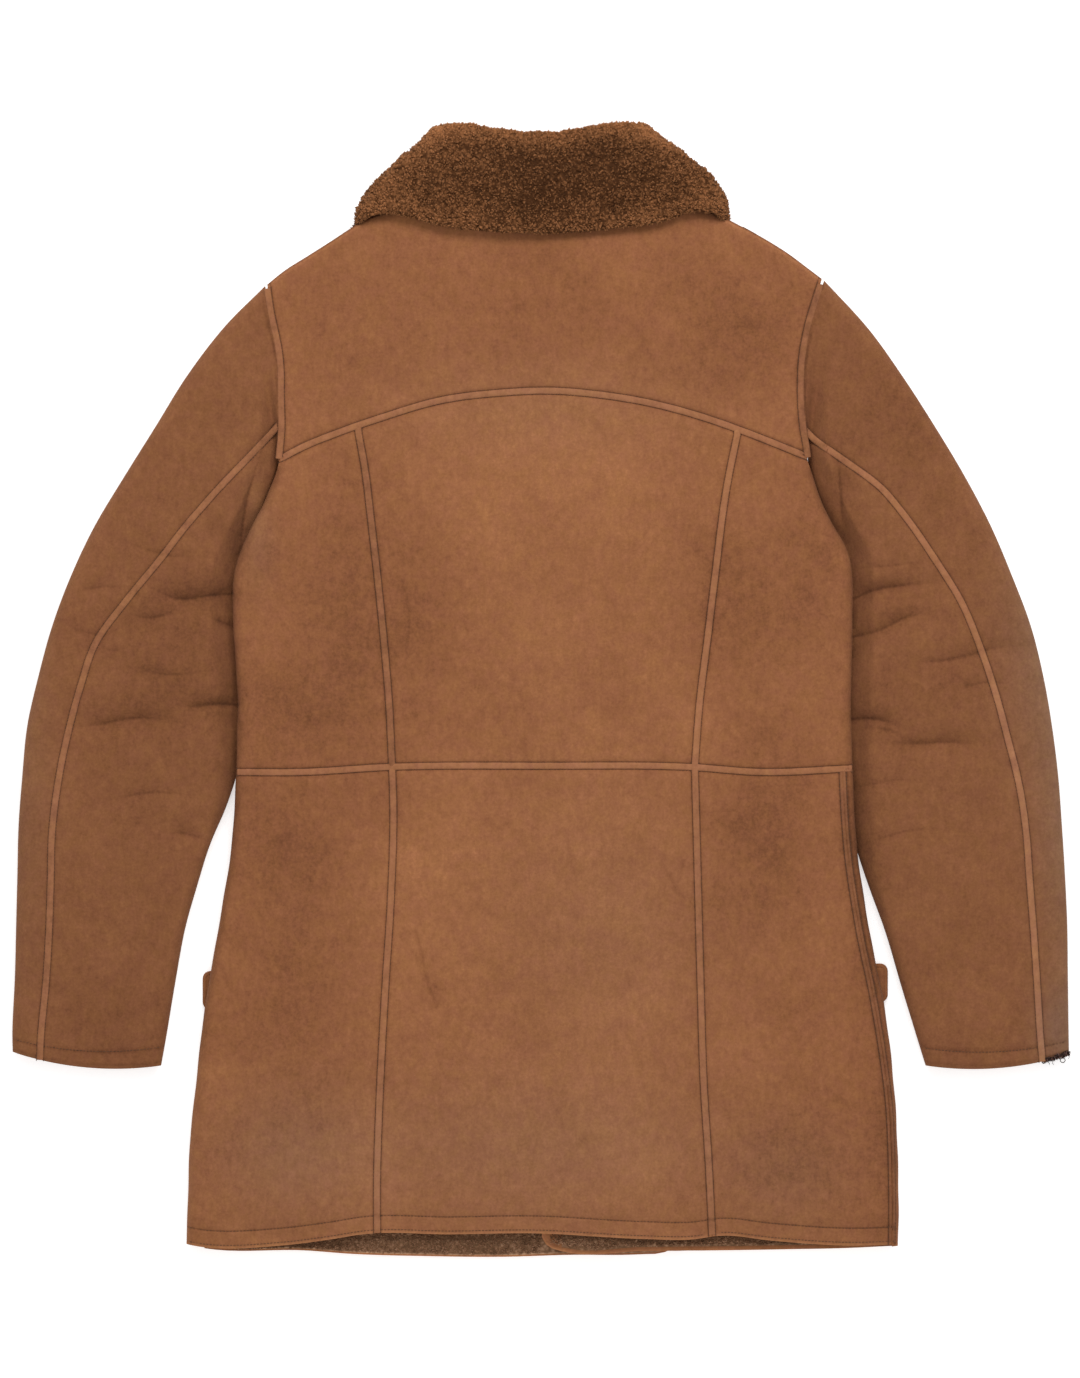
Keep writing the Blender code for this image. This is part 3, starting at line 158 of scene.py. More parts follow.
RIGHT_SLEEVE = [
    (226, 328.5, 214.5, 186, 0, 0.84, 22.4), (262, 289.5, 215.5, 173, 0, 0.78, 24.0),
    (290, 251, 224, 148, 0, 0.66, 25.0), (316, 211, 239, 119, 0, 0.55, 25.5),
    (340, 171, 242, 87, 0, 0.45, 26.0), (361, 131, 241, 55, 0, 0.37, 26.0),
    (378, 91, 240, 23, 0, 0.30, 26.0), (393, 51, 240, -9, 0, 0.27, 26.0),
    (403, 11, 240, -41, 0, 0.24, 26.0), (410, -29, 242, -73, 0, 0.215, 25.5),
    (415, -69, 247, -105, 1, 0.19, 25.0), (418, -109, 255, -132, 2, 0.18, 24.5),
    (420.5, -149, 264, -159, 3, 0.185, 24.0), (422.3, -189, 277, -195, 4, 0.19, 23.5),
    (422.8, -229, 289, -236, 5, 0.19, 22.5), (423.4, -269, 300, -272, 6, 0.19, 20.0),
    (423.9, -292, 309, -301, 6.5, 0.19, 15.0)]
FOREARM_SEAM = 0.84

# Creases: columns from x, y to x, y, depth (a ridge is negative) and half width.
CREASES = [
    (-296, 76, -246, 72, 3.2, 11), (-330, 52, -285, 44, 1.8, 14), (-366, -28, -318, -24, 2.2, 12),
    (-318, -24, -248, -27, 3.0, 12), (-278, -13, -243, -11, 2.0, 10), (-310, -110, -264, -119, 2.0, 13),
    (-256, 120, -246, 108, 3.0, 14), (-222, 194, -238, 120, 2.6, 9), (256, 76, 286, 80, 3.2, 10),
    (286, 80, 318, 83, 2.4, 12), (254, 42, 280, 56, 2.4, 11), (280, 56, 314, 61, 1.8, 12),
    (294, 23, 400, 38, 1.6, 14), (250, -24, 282, -25, 2.8, 10), (258, -43, 324, -45, 2.6, 12),
    (324, -45, 366, -42, 1.8, 12), (244, 166, 246, 112, 2.8, 9)]
# Sharper folds: points from one end to the other, depth, how steep above, how wide below, and how much
# of the depth is left at the first end.
FOLDS = [
    ([(246, 70), (266, 79), (293, 83.5), (321, 85)], 3.4, 3.6, 11, 0.9),
    ([(246, 41), (272, 47.6), (293, 58), (318, 62)], 4.0, 4.0, 14, 1.0),
    ([(293, 22), (327, 24), (345, 28), (362, 33), (390, 35.5)], 2.4, 3.5, 12, 0.0),
    ([(246, -24), (269, -23.6), (281, -27), (296, -35.6)], 3.2, 3.2, 10, 1.0),
    ([(277, -42), (302, -43), (327, -42), (352, -43), (360, -42)], 2.8, 3.6, 13, 0.2),
    ([(262, -30), (280, -33), (297, -40)], 1.0, 2.0, 5, 0.3),
    ([(262, 98), (290, 100), (318, 104)], 1.4, 5.0, 9, 0.5),
    ([(252, -78), (290, -72), (318, -74)], 1.1, 5, 9, 0.4),
    ([(262, -122), (300, -112), (330, -112)], 1.0, 6, 10, 0.2),
    ([(330, 0), (360, 6), (384, 3)], 1.0, 4, 7, 0.1),
    ([(-310, 81), (-291, 73), (-261, 75.6), (-240, 77)], 4.0, 4.2, 13, 0.0),
    ([(-326, 60), (-314, 57.5), (-302, 59), (-286, 68)], 2.2, 3.2, 9, 0.1),
    ([(-262, 57.5), (-251, 52.6), (-240, 49)], 3.0, 3.4, 9, 0.2),
    ([(-286, -15), (-273, -13), (-255, -11.6), (-238, -13)], 3.4, 3.6, 11, 0.0),
    ([(-367, -29), (-353, -28), (-334, -24), (-318, -22.6), (-298, -24.4)], 3.0, 3.8, 13, 0.1),
    ([(-372, 78), (-350, 82), (-330, 82)], 1.2, 3.5, 8, 0.2),
    ([(-376, 50), (-350, 44), (-330, 52)], 1.0, 4, 8, 0.1),
    ([(-330, 118), (-300, 108), (-262, 106)], 1.2, 6.0, 10, 0.2),
    ([(-330, 20), (-296, 12), (-262, 16)], 1.1, 6, 12, 0.1),
    ([(-350, -90), (-310, -82), (-264, -86)], 1.0, 6.0, 12, 0.2),
    ([(-300, -114), (-280, -116), (-262, -122)], 1.6, 4, 9, 0.1),
    ([(-241, 108), (-239.4, 115), (-238.4, 125), (-236.2, 140), (-232.3, 158), (-226.8, 176.6), (-221, 192),
      (-213, 211)],
     3.3, 4.2, 2.2, 0.8),
    ([(237, 192), (240, 168), (241.5, 144), (244, 118)], 2.6, 3.0, 4.5, 0.2)]
# Scratches and short creases in the nap: points, depth, half width.
SCRATCHES = [
    ([(-99, -193), (-94, -213), (-89, -237), (-82, -253)], 0.55, 1.5),
    ([(-111, -197), (-104, -206), (-97, -218), (-93, -232)], 0.35, 1.4),
    ([(-92, -226), (-86, -236), (-80, -240)], 0.35, 1.2), ([(115, -137), (113, -146), (111, -154)], 0.4, 1.5),
    ([(97, -140), (104, -148), (110, -162), (121, -170)], 0.3, 1.8),
    ([(-60, -70), (-48, -96), (-34, -112)], 0.18, 2.5), ([(-30, -104), (-12, -118), (14, -116)], 0.18, 2.2),
    ([(-112, 90), (-104, 62), (-106, 40)], 0.3, 2.0), ([(40, -84), (52, -110), (48, -132)], 0.16, 2.0),
    ([(132, 70), (138, 40), (134, 12)], 0.22, 2.2)]

# Paler and darker areas: the nap's own mottling, painted shade along the body's side edges and on the sleeves
# beside them, and painted light that lifts the shade between the left sleeve's fold and the body: columns x,
# y, half width, half height, tone.
TONE_AREAS = [
    (0, 190, 110, 60, 1.15), (-10, 60, 70, 90, 0.35), (-100, 40, 36, 90, -1.25), (95, 30, 50, 80, 0.15),
    (-95, -160, 55, 90, 0.95), (60, -330, 90, 120, 0.45), (20, -110, 120, 40, 0.45),
    (-155, 70, 40, 70, -1.45), (-215, 100, 30, 60, -0.50), (155, 70, 40, 70, -1.40),
    (215, 100, 30, 60, -0.90), (-190, -20, 50, 40, -1.50), (-195, -120, 55, 70, -1.35),
    (-200, -250, 55, 60, -1.20), (-200, -370, 60, 60, -0.50), (175, -120, 45, 70, -1.75),
    (200, -260, 50, 60, -0.20), (100, -200, 40, 60, 0.20), (205, -380, 60, 50, -1.40),
    (200, -20, 45, 40, -0.05), (-300, 20, 60, 90, -1.10), (-360, 110, 50, 90, 0.20),
    (-340, -180, 60, 90, -0.25), (-350, -270, 60, 30, -0.85), (-280, 210, 50, 60, -0.15),
    (300, 20, 60, 90, -0.45), (290, 230, 60, 70, -1.05), (385, 60, 40, 90, -0.10), (345, -180, 60, 70, -0.15),
    (355, -280, 60, 20, 0.10), (-150, 290, 60, 50, -0.60), (160, 290, 60, 60, -1.45),
    (0, 310, 100, 60, -0.85), (310, 40, 22, 12, 0.6), (264, -104, 12, 6, 0.8), (-227, 150, 7, 24, 2.0),
    (-150, 170, 34, 40, -0.8), (-130, -400, 34, 40, 0.7), (-117, -95, 24, 24, -0.6),
    (128, -220, 18, 90, -0.5), (210, -66, 30, 22, -0.6), (125, -30, 22, 26, 0.5), (278, -350, 16, 110, -1.6),
    (262, -200, 16, 90, -1.6), (250, -110, 12, 50, -1.6)]
# Greyer areas: dusty patches, and painted sheen along the sleeves' outer sides, where they face the bright
# floor: columns as above, share.
DUST_AND_SHEEN_AREAS = [
    (415, 60, 40, 120, 1.0), (425, -120, 26, 120, 0.8), (420, -272, 22, 36, 1.0), (0, -370, 170, 60, 0.35),
    (-200, -370, 60, 50, 0.40), (200, -390, 50, 40, 0.25), (60, -200, 90, 100, 0.18),
    (-410, -60, 22, 160, 0.25), (0, 230, 110, 40, 0.15), (-225, 120, 14, 40, 0.3)]

COLLAR_ROLL = [(-87, 448), (-63, 452), (-36, 448), (5, 445), (41, 449), (70, 452.8), (89, 447)]
COLLAR_EDGE = [(-146, 373), (-124, 380), (-111, 378), (-79, 370), (-31, 365), (17, 364), (65, 368),
               (97, 373), (129, 382), (150, 377)]
NECK_SEAM = [(-92, 399.5), (-60, 392), (2, 388.5), (64, 392), (98, 399.5)]
COLLAR_FOLD, STAND_FOLD = 14.0, 12.0
COLLAR_BOW = {-1: (10.5, 1.6), 1: (15.5, 1.35)}
LEAF_ROLL = [(-73, 446), (-66, 412), (-42, 380), (-5, 366)]
LEAF_EDGE = [(-136, 362), (-127, 336), (-106, 315), (-78, 303)]
LEAF_NECK = [(-80, 399), (-72, 375), (-51, 352), (-5, 336)]

BUTTON_X, BUTTON_YS = 78.0, (235, 115, -5, -125)
FLAP_SIZE = (150.0, 31.0, 5.0)
FLAPS = {"left": (-195.0, -241.0), "right": (204.0, -235.0)}


# ---- curves and layer heights, as in the part's source --------------------------------------------

def ease(t):
    t = np.clip(t, 0.0, 1.0)
    return t * t * (3.0 - 2.0 * t)


def smooth(table, at):
    rows = np.asarray(table, float)
    knots, values = rows[:, 0], rows[:, 1]
    slopes = np.gradient(values, knots)
    at = np.clip(np.asarray(at, float), knots[0], knots[-1])
    i = np.clip(np.searchsorted(knots, at, side="right") - 1, 0, len(knots) - 2)
    span = knots[i + 1] - knots[i]
    f = (at - knots[i]) / span
    return ((1 + 2 * f) * (1 - f) ** 2 * values[i] + f * (1 - f) ** 2 * span * slopes[i]
            + f * f * (3 - 2 * f) * values[i + 1] - f * f * (1 - f) * span * slopes[i + 1])


def curve(table):
    return lambda at: smooth(table, at)


def straight(value):
    """A curve that is the same everywhere."""
    return lambda at: np.full(np.shape(at), value)


def route(points, t):
    spots = np.asarray(points, float)
    steps = np.hypot(*np.diff(spots, axis=0).T)
    along = np.concatenate([[0.0], np.cumsum(steps)]) / steps.sum()
    return (smooth(np.column_stack([along, spots[:, 0]]), t),
            smooth(np.column_stack([along, spots[:, 1]]), t))


def bell(away, width):
    """1 in the middle, and 0.37 at this distance from it."""
    return np.exp(-(away / width) ** 2)


def unit(vectors):
    return vectors / np.linalg.norm(vectors, axis=1, keepdims=True)


def waves(x, y, size, seed, count=8):
    """A smooth uneven field of about -1 to 1, with swells of about this size."""
    rng = np.random.default_rng(seed)
    total = np.zeros(np.broadcast(x, y).shape)
    for _ in range(count):
        angle, phase = rng.uniform(0, math.tau, 2)
        length = size * rng.uniform(0.6, 1.7)
        total = total + np.sin((x * math.cos(angle) + y * math.sin(angle)) * math.tau / length + phase)
    return total / math.sqrt(2 * count)


def round_over(distance, radius=FOLD_RADIUS):
    t = np.clip(distance / radius, 0.0, 1.0)
    return np.sqrt(np.clip(1.0 - (1.0 - t) ** 2, 0.0, 1.0))


def lines(x, y, table):
    depth = np.zeros(np.broadcast(x, y).shape)
    for x0, y0, x1, y1, deep, width in table:
        run = np.array([x1 - x0, y1 - y0], float)
        t = np.clip(((x - x0) * run[0] + (y - y0) * run[1]) / (run @ run), 0, 1)
        away = np.hypot(x - x0 - t * run[0], y - y0 - t * run[1])
        depth = depth + deep * bell(away, width)
    return depth


def tuck(y, start, end):
    return SLEEVE_TUCK * ease((172 - y) / 60) * ease((y - end) / (start - end))


def side_lift(x, y, width=TUCK_WIDTH):
    from_left = x - smooth(LEFT_EDGE, y)
    from_right = smooth(RIGHT_EDGE, y) - x
    return (tuck(y, *LEFT_TUCK_END) * (1 - ease(from_left / width))
            + tuck(y, *RIGHT_TUCK_END) * (1 - ease(from_right / width)))


def neck_share(x, y):
    start, end = LEAF_RISE
    return ease((y - start) / (end - start)) * smooth(LEAF_SPAN, np.abs(x - CENTRE))


def fade_down(y, delay=0.0):
    return 1 - ease((y - 334 - delay) / 62)


def middle_lift(x, y):
    sides = side_lift(x, y, WIDE_TUCK) / SLEEVE_TUCK
    return LEAF * neck_share(x, y) + MIDDLE_TUCK * SLEEVE_TUCK * sides


def ramp_gap(x, y):
    shares = [neck_share(x, y), side_lift(x, y, WIDE_TUCK) / SLEEVE_TUCK, fade_down(y) * (x < FLOOR_START)]
    return RAMP_GAP * 4 * sum(share * (1 - share) for share in shares)


def hem_ease(x, y, hem):
    return 1 - ease((y - smooth(hem, x)) / HEM_DEPTH)


def between(value, start, end):
    return np.clip((value - start) / (end - start), 0, 1)


def left_front_thickness(x):
    return HIDE - EDGE_TAPER * between(x, TAPER_START, TAPER_END)


def right_front_thickness(x):
    return HIDE - UNDERLAP_TAPER * (1 - between(x, UNDERLAP_EDGE, UNDERLAP_FULL))


def over_left_front(x):
    on_front = left_front_thickness(x) + PLY_GAP
    beside = (HIDE - EDGE_TAPER + PLY_GAP) * (1 - between(x, TAPER_END, FLOOR_START))
    return np.where(x < TAPER_END, on_front, beside)


def left_front_top(x, y):
    return middle_lift(x, y) + left_front_thickness(x) * (1 - HEM_THIN * hem_ease(x, y, LEFT_FRONT_HEM))


def settle(x, y):
    return 0.25 * left_front_thickness(x) * hem_ease(x, y, LEFT_FRONT_HEM) * (x < TAPER_END)


def right_front_low(x, y):
    return (LEAF * neck_share(x, y) + side_lift(x, y) + over_left_front(x) * fade_down(y)
            + ramp_gap(x, y) * (x < FLOOR_START) - settle(x, y))


def right_front_top(x, y):
    thickness = right_front_thickness(x) * (1 - HEM_THIN * hem_ease(x, y, RIGHT_FRONT_HEM))
    return (middle_lift(x, y) + ramp_gap(x, y) + over_left_front(x) * fade_down(y) + thickness
            - settle(x, y))


def back_bottom(x, y):
    under_edge = PLY_GAP + HIDE - UNDERLAP_TAPER
    before = under_edge * between(x, UNDERLAP_EDGE - 21.6, UNDERLAP_EDGE)
    above = over_left_front(x) + right_front_thickness(x) - HIDE
    over = np.where(x < UNDERLAP_EDGE, before, above)
    return (middle_lift(x, y) + 2 * ramp_gap(x, y) + HIDE + PLY_GAP + over * fade_down(y, 6.0)
            - 1.5 * hem_ease(x, y, BACK_HEM))


def back_flat(x, y):
    bump = ease((x + 45) / 95) * (1 - ease((x - 70) / 75))
    lifts = LEAF * neck_share(x, y) + 0.7 * side_lift(x, y, WIDE_TUCK)
    return (2 * HIDE + PLY_GAP + lifts + (HIDE + PLY_GAP) * bump * fade_down(y, 6.0)
            - (1.5 + HEM_THIN * HIDE) * hem_ease(x, y, BACK_HEM) - lines(x, y, CREASES))


def fold_middle(x, y):
    return 0.5 * (side_lift(x, y) + back_flat(x, y))


def side_roundness(y):
    return ease((181 - y) / 9)


def from_side(x, y):
    return np.minimum(x - smooth(LEFT_EDGE, y), smooth(RIGHT_EDGE, y) - x)


def shoulder_round(x, y, sides=(-1, 1)):
    away = smooth(SHOULDERS, x) - y
    on_shoulder = sum((x - CENTRE) * side > 80 for side in sides) > 0
    return np.where(on_shoulder, round_over(away, 11.0), 1.0)


def back_top(x, y):
    flat = back_flat(x, y)
    middle = fold_middle(x, y)
    side = middle + (flat - middle) * round_over(from_side(x, y))
    flat = flat + (side - flat) * side_roundness(y)
    low = back_bottom(x, y) + SHOULDER_LIP
    return low + (flat - low) * shoulder_round(x, y)


def left_front_low(x, y):
    lift = LEAF * neck_share(x, y) + side_lift(x, y)
    return lift + (HIDE - SHOULDER_LIP) * (1 - shoulder_round(x, y, (-1,)))


def right_front_bottom(x, y):
    return right_front_low(x, y) + (HIDE - SHOULDER_LIP) * (1 - shoulder_round(x, y, (1,)))


def over_sleeve(x, y):
    away = from_side(x, y)
    middle = fold_middle(x, y)
    under = middle - (middle - side_lift(x, y)) * round_over(away) - SLEEVE_CLEAR
    beside = 10.0 - 0.9 * np.minimum(away, 0)
    return np.where(away > 0, np.minimum(under, beside), beside)


def near_path(x, y, path):
    """How far points lie from a plan path, how far along it, and on which side: 1 is its left."""
    path = np.asarray(path, float)
    best, along, side = np.full(np.shape(x), 1e9), np.zeros(np.shape(x)), np.ones(np.shape(x))
    start = 0.0
    for (x0, y0), (x1, y1) in zip(path[:-1], path[1:]):
        run_x, run_y = x1 - x0, y1 - y0
        length = math.hypot(run_x, run_y)
        t = np.clip(((x - x0) * run_x + (y - y0) * run_y) / length ** 2, 0, 1)
        away = np.hypot(x - x0 - t * run_x, y - y0 - t * run_y)
        closer = away < best
        best = np.where(closer, away, best)
        along = np.where(closer, start + t * length, along)
        side = np.where(closer, np.sign((y - y0) * run_x - (x - x0) * run_y), side)
        start += length
    return best, along / start, side


def folds(x, y):
    """The depth of the sharper folds, and the shade painted into them: a dark line along each and softer
    shade beside it.
    """
    depth, shade = np.zeros(np.shape(x)), np.zeros(np.shape(x))
    for path, deep, steep, wide, first in FOLDS:
        t = np.linspace(0, 1, 25)
        away, along, side = near_path(x, y, np.column_stack(route(path, t)))
        last = 0.0 if first > 0.3 else 1.0 if first == 0.0 and abs(path[-1][0]) < 245 else 0.15
        strength = first + (1 - first) * ease(along / 0.35)
        strength = strength * (last + (1 - last) * ease((1 - along) / 0.55))
        profile = np.where(side > 0, np.exp(-(away / steep) ** 1.3), np.exp(-(away / wide) ** 1.1))
        depth = depth + deep * strength * profile
        core = bell(away, 1.1)
        above = np.exp(-(away / np.where(side > 0, 9.0, 3.0)) ** 1.4)
        shade = shade + strength * (0.7 + 0.3 * deep) * (1.05 * core + 0.42 * above)
    beside = from_side(x, y) < 0.6
    return depth * beside, shade * beside


def scratches(x, y):
    depth = np.zeros(np.shape(x))
    for path, deep, width in SCRATCHES:
        away, _, _ = near_path(x, y, np.column_stack(route(path, np.linspace(0, 1, 9))))
        depth = depth + deep * bell(away, width)
    return depth


def uneven(x, y):
    """The small swells and fine creases of the suede's face."""
    return (0.40 * waves(x, y, 70, 3) + 0.20 * waves(x, y, 24, 4) + 0.06 * waves(x, y, 8, 5)
            - marks(x, y)[0])


def marks(x, y):
    """The depth of folds and scratches together, and their darkening: painted shade in the folds, darker nap
    in the scratches.
    """
    depth, shade = folds(x, y)
    scratched = scratches(x, y)
    return depth + scratched, shade + 2.2 * scratched


def dust_and_sheen_at(x, y):
    return np.clip(sum(share * np.exp(-((x - cx) / wide) ** 2 - ((y - cy) / high) ** 2)
                       for cx, cy, wide, high, share in DUST_AND_SHEEN_AREAS), 0, 1)


def tone_at(x, y):
    tone = 0.22 * waves(x, y, 60, 11) + 0.16 * waves(x, y, 24, 12) + 0.08 * waves(x, y, 9, 13)
    for cx, cy, wide, high, value in TONE_AREAS:
        tone = tone + value * np.exp(-((x - cx) / wide) ** 2 - ((y - cy) / high) ** 2)
    # Painted shade in the creases and folds, and darker nap in the scratches.
    return tone - 0.06 * lines(x, y, CREASES) - marks(x, y)[1]


def points(x, y, z):
    return np.stack(np.broadcast_arrays(x, y, z), axis=-1)


# ---- surfaces ------------------------------------------------------------------------------------

def seam_relief(x, y, paths):
    """How a panel's face dips to the stitches beside its seams, swells beyond them and puckers."""
    relief = np.zeros(np.shape(x))
    for number, path in enumerate(paths):
        away, along, _ = near_path(x, y, path)
        along = along * np.hypot(*np.diff(path, axis=0).T).sum()
        swell = 0.30 * bell(away - 9.0, 4.5)
        dip = 0.70 * bell(away - GROOVE, 0.8) + 0.45 * bell(away, 2.0)
        pucker = 0.16 * np.sin(along * 0.62 + number + 2.0 * np.sin(along * 0.05)) \
            * np.exp(-np.abs(away - 4.5) / 4.0)
        relief = relief + swell - dip + pucker * (0.6 + 0.4 * waves(along, number * 100.0, 40, 21))
    return relief


def seam_tone(x, y, paths, dark=3.0):
    """Paler close to the straps, and darker at the stitch line beside them: painted shade in the stitch
    groove.
    """
    tone = np.zeros(np.shape(x))
    for path in paths:
        away, _, _ = near_path(x, y, path)
        tone = tone + 0.10 * bell(away - 8.0, 5.0) - dark * bell(away - GROOVE, 0.62)
    return tone


# Places of grid lines beside a seam, a hem and a shoulder, from the edge inwards.
NEAR = np.array([HALF_SEAM, 1.3, 2.1, 2.5, 2.85, 3.2, 3.7, 5.4, 8.6])
NEAR_HEM = np.array([HALF_SEAM, 0.8, 1.6, 2.3, 2.9, 3.5, 4.6, 6.5, 9, 11.5, 13.2, 13.8, 14.3, 14.8, 15.4, 17])
NEAR_CREST = np.array([HALF_SEAM, 0.6, 1.3, 2.3, 3.6, 5.2, 7.0, 9.0, 11.0])


class Panel:
    """The fine plan grid of a body panel between two upright curves x(y) and two level curves y(x)."""

    def __init__(self, left, right, bottom, top, step, fixed=(), fold=0, hem=False, crest=False):
        self.fold, self.bottom, self.top = fold, bottom, top
        near = NEAR if step < 5 else NEAR[[0, 4, 6, 8]]
        low, high = NEAR_HEM if hem else near, NEAR_CREST if crest else near
        middle = 0.5 * (float(left(0.5 * (bottom(0) + top(0)))) + float(right(0.5 * (bottom(0) + top(0)))))
        inside = float(top(middle) - bottom(middle)) - low[-1] - high[-1]
        shares = np.linspace(0, 1, max(3, round(inside / step)) + 1)[1:-1]
        v = np.concatenate([np.zeros(len(low)), shares, np.ones(len(high))])
        shift = np.concatenate([low, low[-1] * (1 - shares) - high[-1] * shares, -high[::-1]])
        self.v, self.shift = v[:, None], shift[:, None]
        self.left_x, self.left_y = self.meet(left)
        self.right_x, self.right_y = self.meet(right)
        start = self.left_x + (FOLD_RADIUS if fold < 0 else 0)
        end = self.right_x - (FOLD_RADIUS if fold > 0 else 0)
        start_near = near if fold >= 0 else np.array([0.0])
        end_near = near if fold <= 0 else np.array([0.0])
        first, last = start.max() + start_near[-1] + 3, end.min() - end_near[-1] - 3
        inner = [x for x in sorted(fixed) if first < x < last]
        begin, finish = start + start_near[-1], end - end_near[-1]
        columns = [start + offset for offset in start_near[:-1]]
        marks = [begin] + [np.full_like(begin, x) for x in inner] + [finish]
        for a, b in zip(marks[:-1], marks[1:]):
            count = max(1, round(float(np.mean(b - a)) / step))
            columns += [a + (b - a) * i / count for i in range(count)]
        columns.append(finish)
        columns += [end - offset for offset in end_near[:-1][::-1]]
        self.x = np.concatenate(columns, axis=1)
        self.y = self.at(self.x)
        self.limit = None if not inner else inner[0 if fold < 0 else -1]

    def at(self, x):
        return (1 - self.v) * self.bottom(x) + self.v * self.top(x) + self.shift

    def meet(self, upright):
        y = np.zeros_like(self.v)
        for _ in range(40):
            x = upright(y)
            y = self.at(x)
        return x, y


def wall(name, outer, inner, materials, tone=None, bottom_rim=0, side_rim=0, extra_grey=0.0):
    """A closed wall between two grids of points. The first material is on the outer grid and on the
    edges, the second on the inner one, apart from its lowest rows and first columns within the rims."""
    rows, count = outer.shape[:2]
    verts = np.concatenate([outer.reshape(-1, 3), inner.reshape(-1, 3)]) * MM
    index = np.arange(rows * count).reshape(rows, count)
    far = index + rows * count

    def quads(a, b, c, d):
        return np.stack([a, b, c, d], axis=-1).reshape(-1, 4)

    out = quads(index[:-1, :-1], index[:-1, 1:], index[1:, 1:], index[1:, :-1])
    back = quads(far[:-1, :-1], far[1:, :-1], far[1:, 1:], far[:-1, 1:])
    sides = np.concatenate([
        quads(index[:-1, 0], index[1:, 0], far[1:, 0], far[:-1, 0]),
        quads(index[:-1, -1], far[:-1, -1], far[1:, -1], index[1:, -1]),
        quads(index[0, :-1], far[0, :-1], far[0, 1:], index[0, 1:]),
        quads(index[-1, :-1], index[-1, 1:], far[-1, 1:], far[-1, :-1])])
    kinds = np.concatenate([np.zeros(len(out), int), np.ones(len(back), int), np.zeros(len(sides), int)])
    rim = kinds[len(out):2 * len(out)].reshape(rows - 1, count - 1)
    rim[:bottom_rim] = 0
    rim[:, :side_rim] = 0
    faces = np.concatenate([out, back, sides])
    corners = verts[faces]
    volume = np.einsum("ij,ij->", corners[:, 0], np.cross(corners[:, 1], corners[:, 2])) \
        + np.einsum("ij,ij->", corners[:, 0], np.cross(corners[:, 2], corners[:, 3]))
    if volume < 0:
        faces = faces[:, ::-1]
    obj = mesh_object(name, verts, faces, materials, kinds)
    if tone is not None:
        # The grey share: dusty patches, and painted sheen along the sleeves' outer sides; an extra share
        # greys the straps all over.
        dust_and_sheen = extra_grey + dust_and_sheen_at(outer[..., 0], outer[..., 1])
        for label, values in (("tone", tone), ("dust_and_sheen", dust_and_sheen)):
            add_tone(obj, np.concatenate([values.reshape(-1), values.reshape(-1)]), label)
    return obj


def refine(obj, paths, reach=4.5, cuts=2):
    """Splits the upper faces near these folds or scratches, and lays the new points into them."""
    mesh_edit = bmesh.new()
    mesh_edit.from_mesh(obj.data)
    kept = [mesh_edit.verts.layers.float.new(label) for label in ("depth", "shade")]
    tone = mesh_edit.verts.layers.float["tone"]

    def marks_of(verts):
        spots = np.array([v.co[:2] for v in verts]) / MM
        return marks(spots[:, 0], spots[:, 1])

    def near(verts):
        spots = np.array([v.co[:2] for v in verts]) / MM
        close = np.zeros(len(spots), bool)
        for path in paths:
            line = np.column_stack(route(path[0], np.linspace(0, 1, 13)))
            close |= near_path(spots[:, 0], spots[:, 1], line)[0] < reach
        return close

    verts = list(mesh_edit.verts)
    for vert, depth, shade in zip(verts, *marks_of(verts)):
        vert[kept[0]], vert[kept[1]] = depth, shade
    close = {vert for vert, is_near in zip(verts, near(verts)) if is_near}
    faces = [face for face in mesh_edit.faces if face.material_index == 0 and face.normal.z > 0.4
             and all(vert in close for vert in face.verts)]
    edges = list({edge for face in faces for edge in face.edges})
    old = set(verts)
    bmesh.ops.subdivide_edges(mesh_edit, edges=edges, cuts=cuts, use_grid_fill=True)
    added = [vert for vert in mesh_edit.verts if vert not in old]
    if added:
        for vert, depth, shade in zip(added, *marks_of(added)):
            vert.co.z -= (depth - vert[kept[0]]) * MM
            # The new points also take the painted shade of the folds.
            vert[tone] -= shade - vert[kept[1]]
    for layer_name in ("depth", "shade"):
        mesh_edit.verts.layers.float.remove(mesh_edit.verts.layers.float[layer_name])
    mesh_edit.to_mesh(obj.data)
    mesh_edit.free()


def shown(name, data, sharp=None):
    """The object of this mesh, light or camera, in the scene. Sharp is the angle of a mesh's sharp edges."""
    if sharp is not None:
        data.shade_smooth()
        data.set_sharp_from_angle(angle=math.radians(sharp))
    obj = bpy.data.objects.new(name, data)
    bpy.context.scene.collection.objects.link(obj)
    return obj


def mesh_object(name, verts, faces, materials, kinds=None):
    mesh = bpy.data.meshes.new(name)
    mesh.from_pydata(np.asarray(verts).tolist(), [], faces if isinstance(faces, list) else faces.tolist())
    for material in materials:
        mesh.materials.append(material)
    if kinds is not None:
        mesh.polygons.foreach_set("material_index", np.asarray(kinds, dtype=np.int32))
    return shown(name, mesh, SHARP)


def add_tone(obj, values, label="tone"):
    layer = obj.data.attributes.new(label, "FLOAT", "POINT")
    layer.data.foreach_set("value", np.asarray(values, dtype=np.float32))


# ---- materials -----------------------------------------------------------------------------------

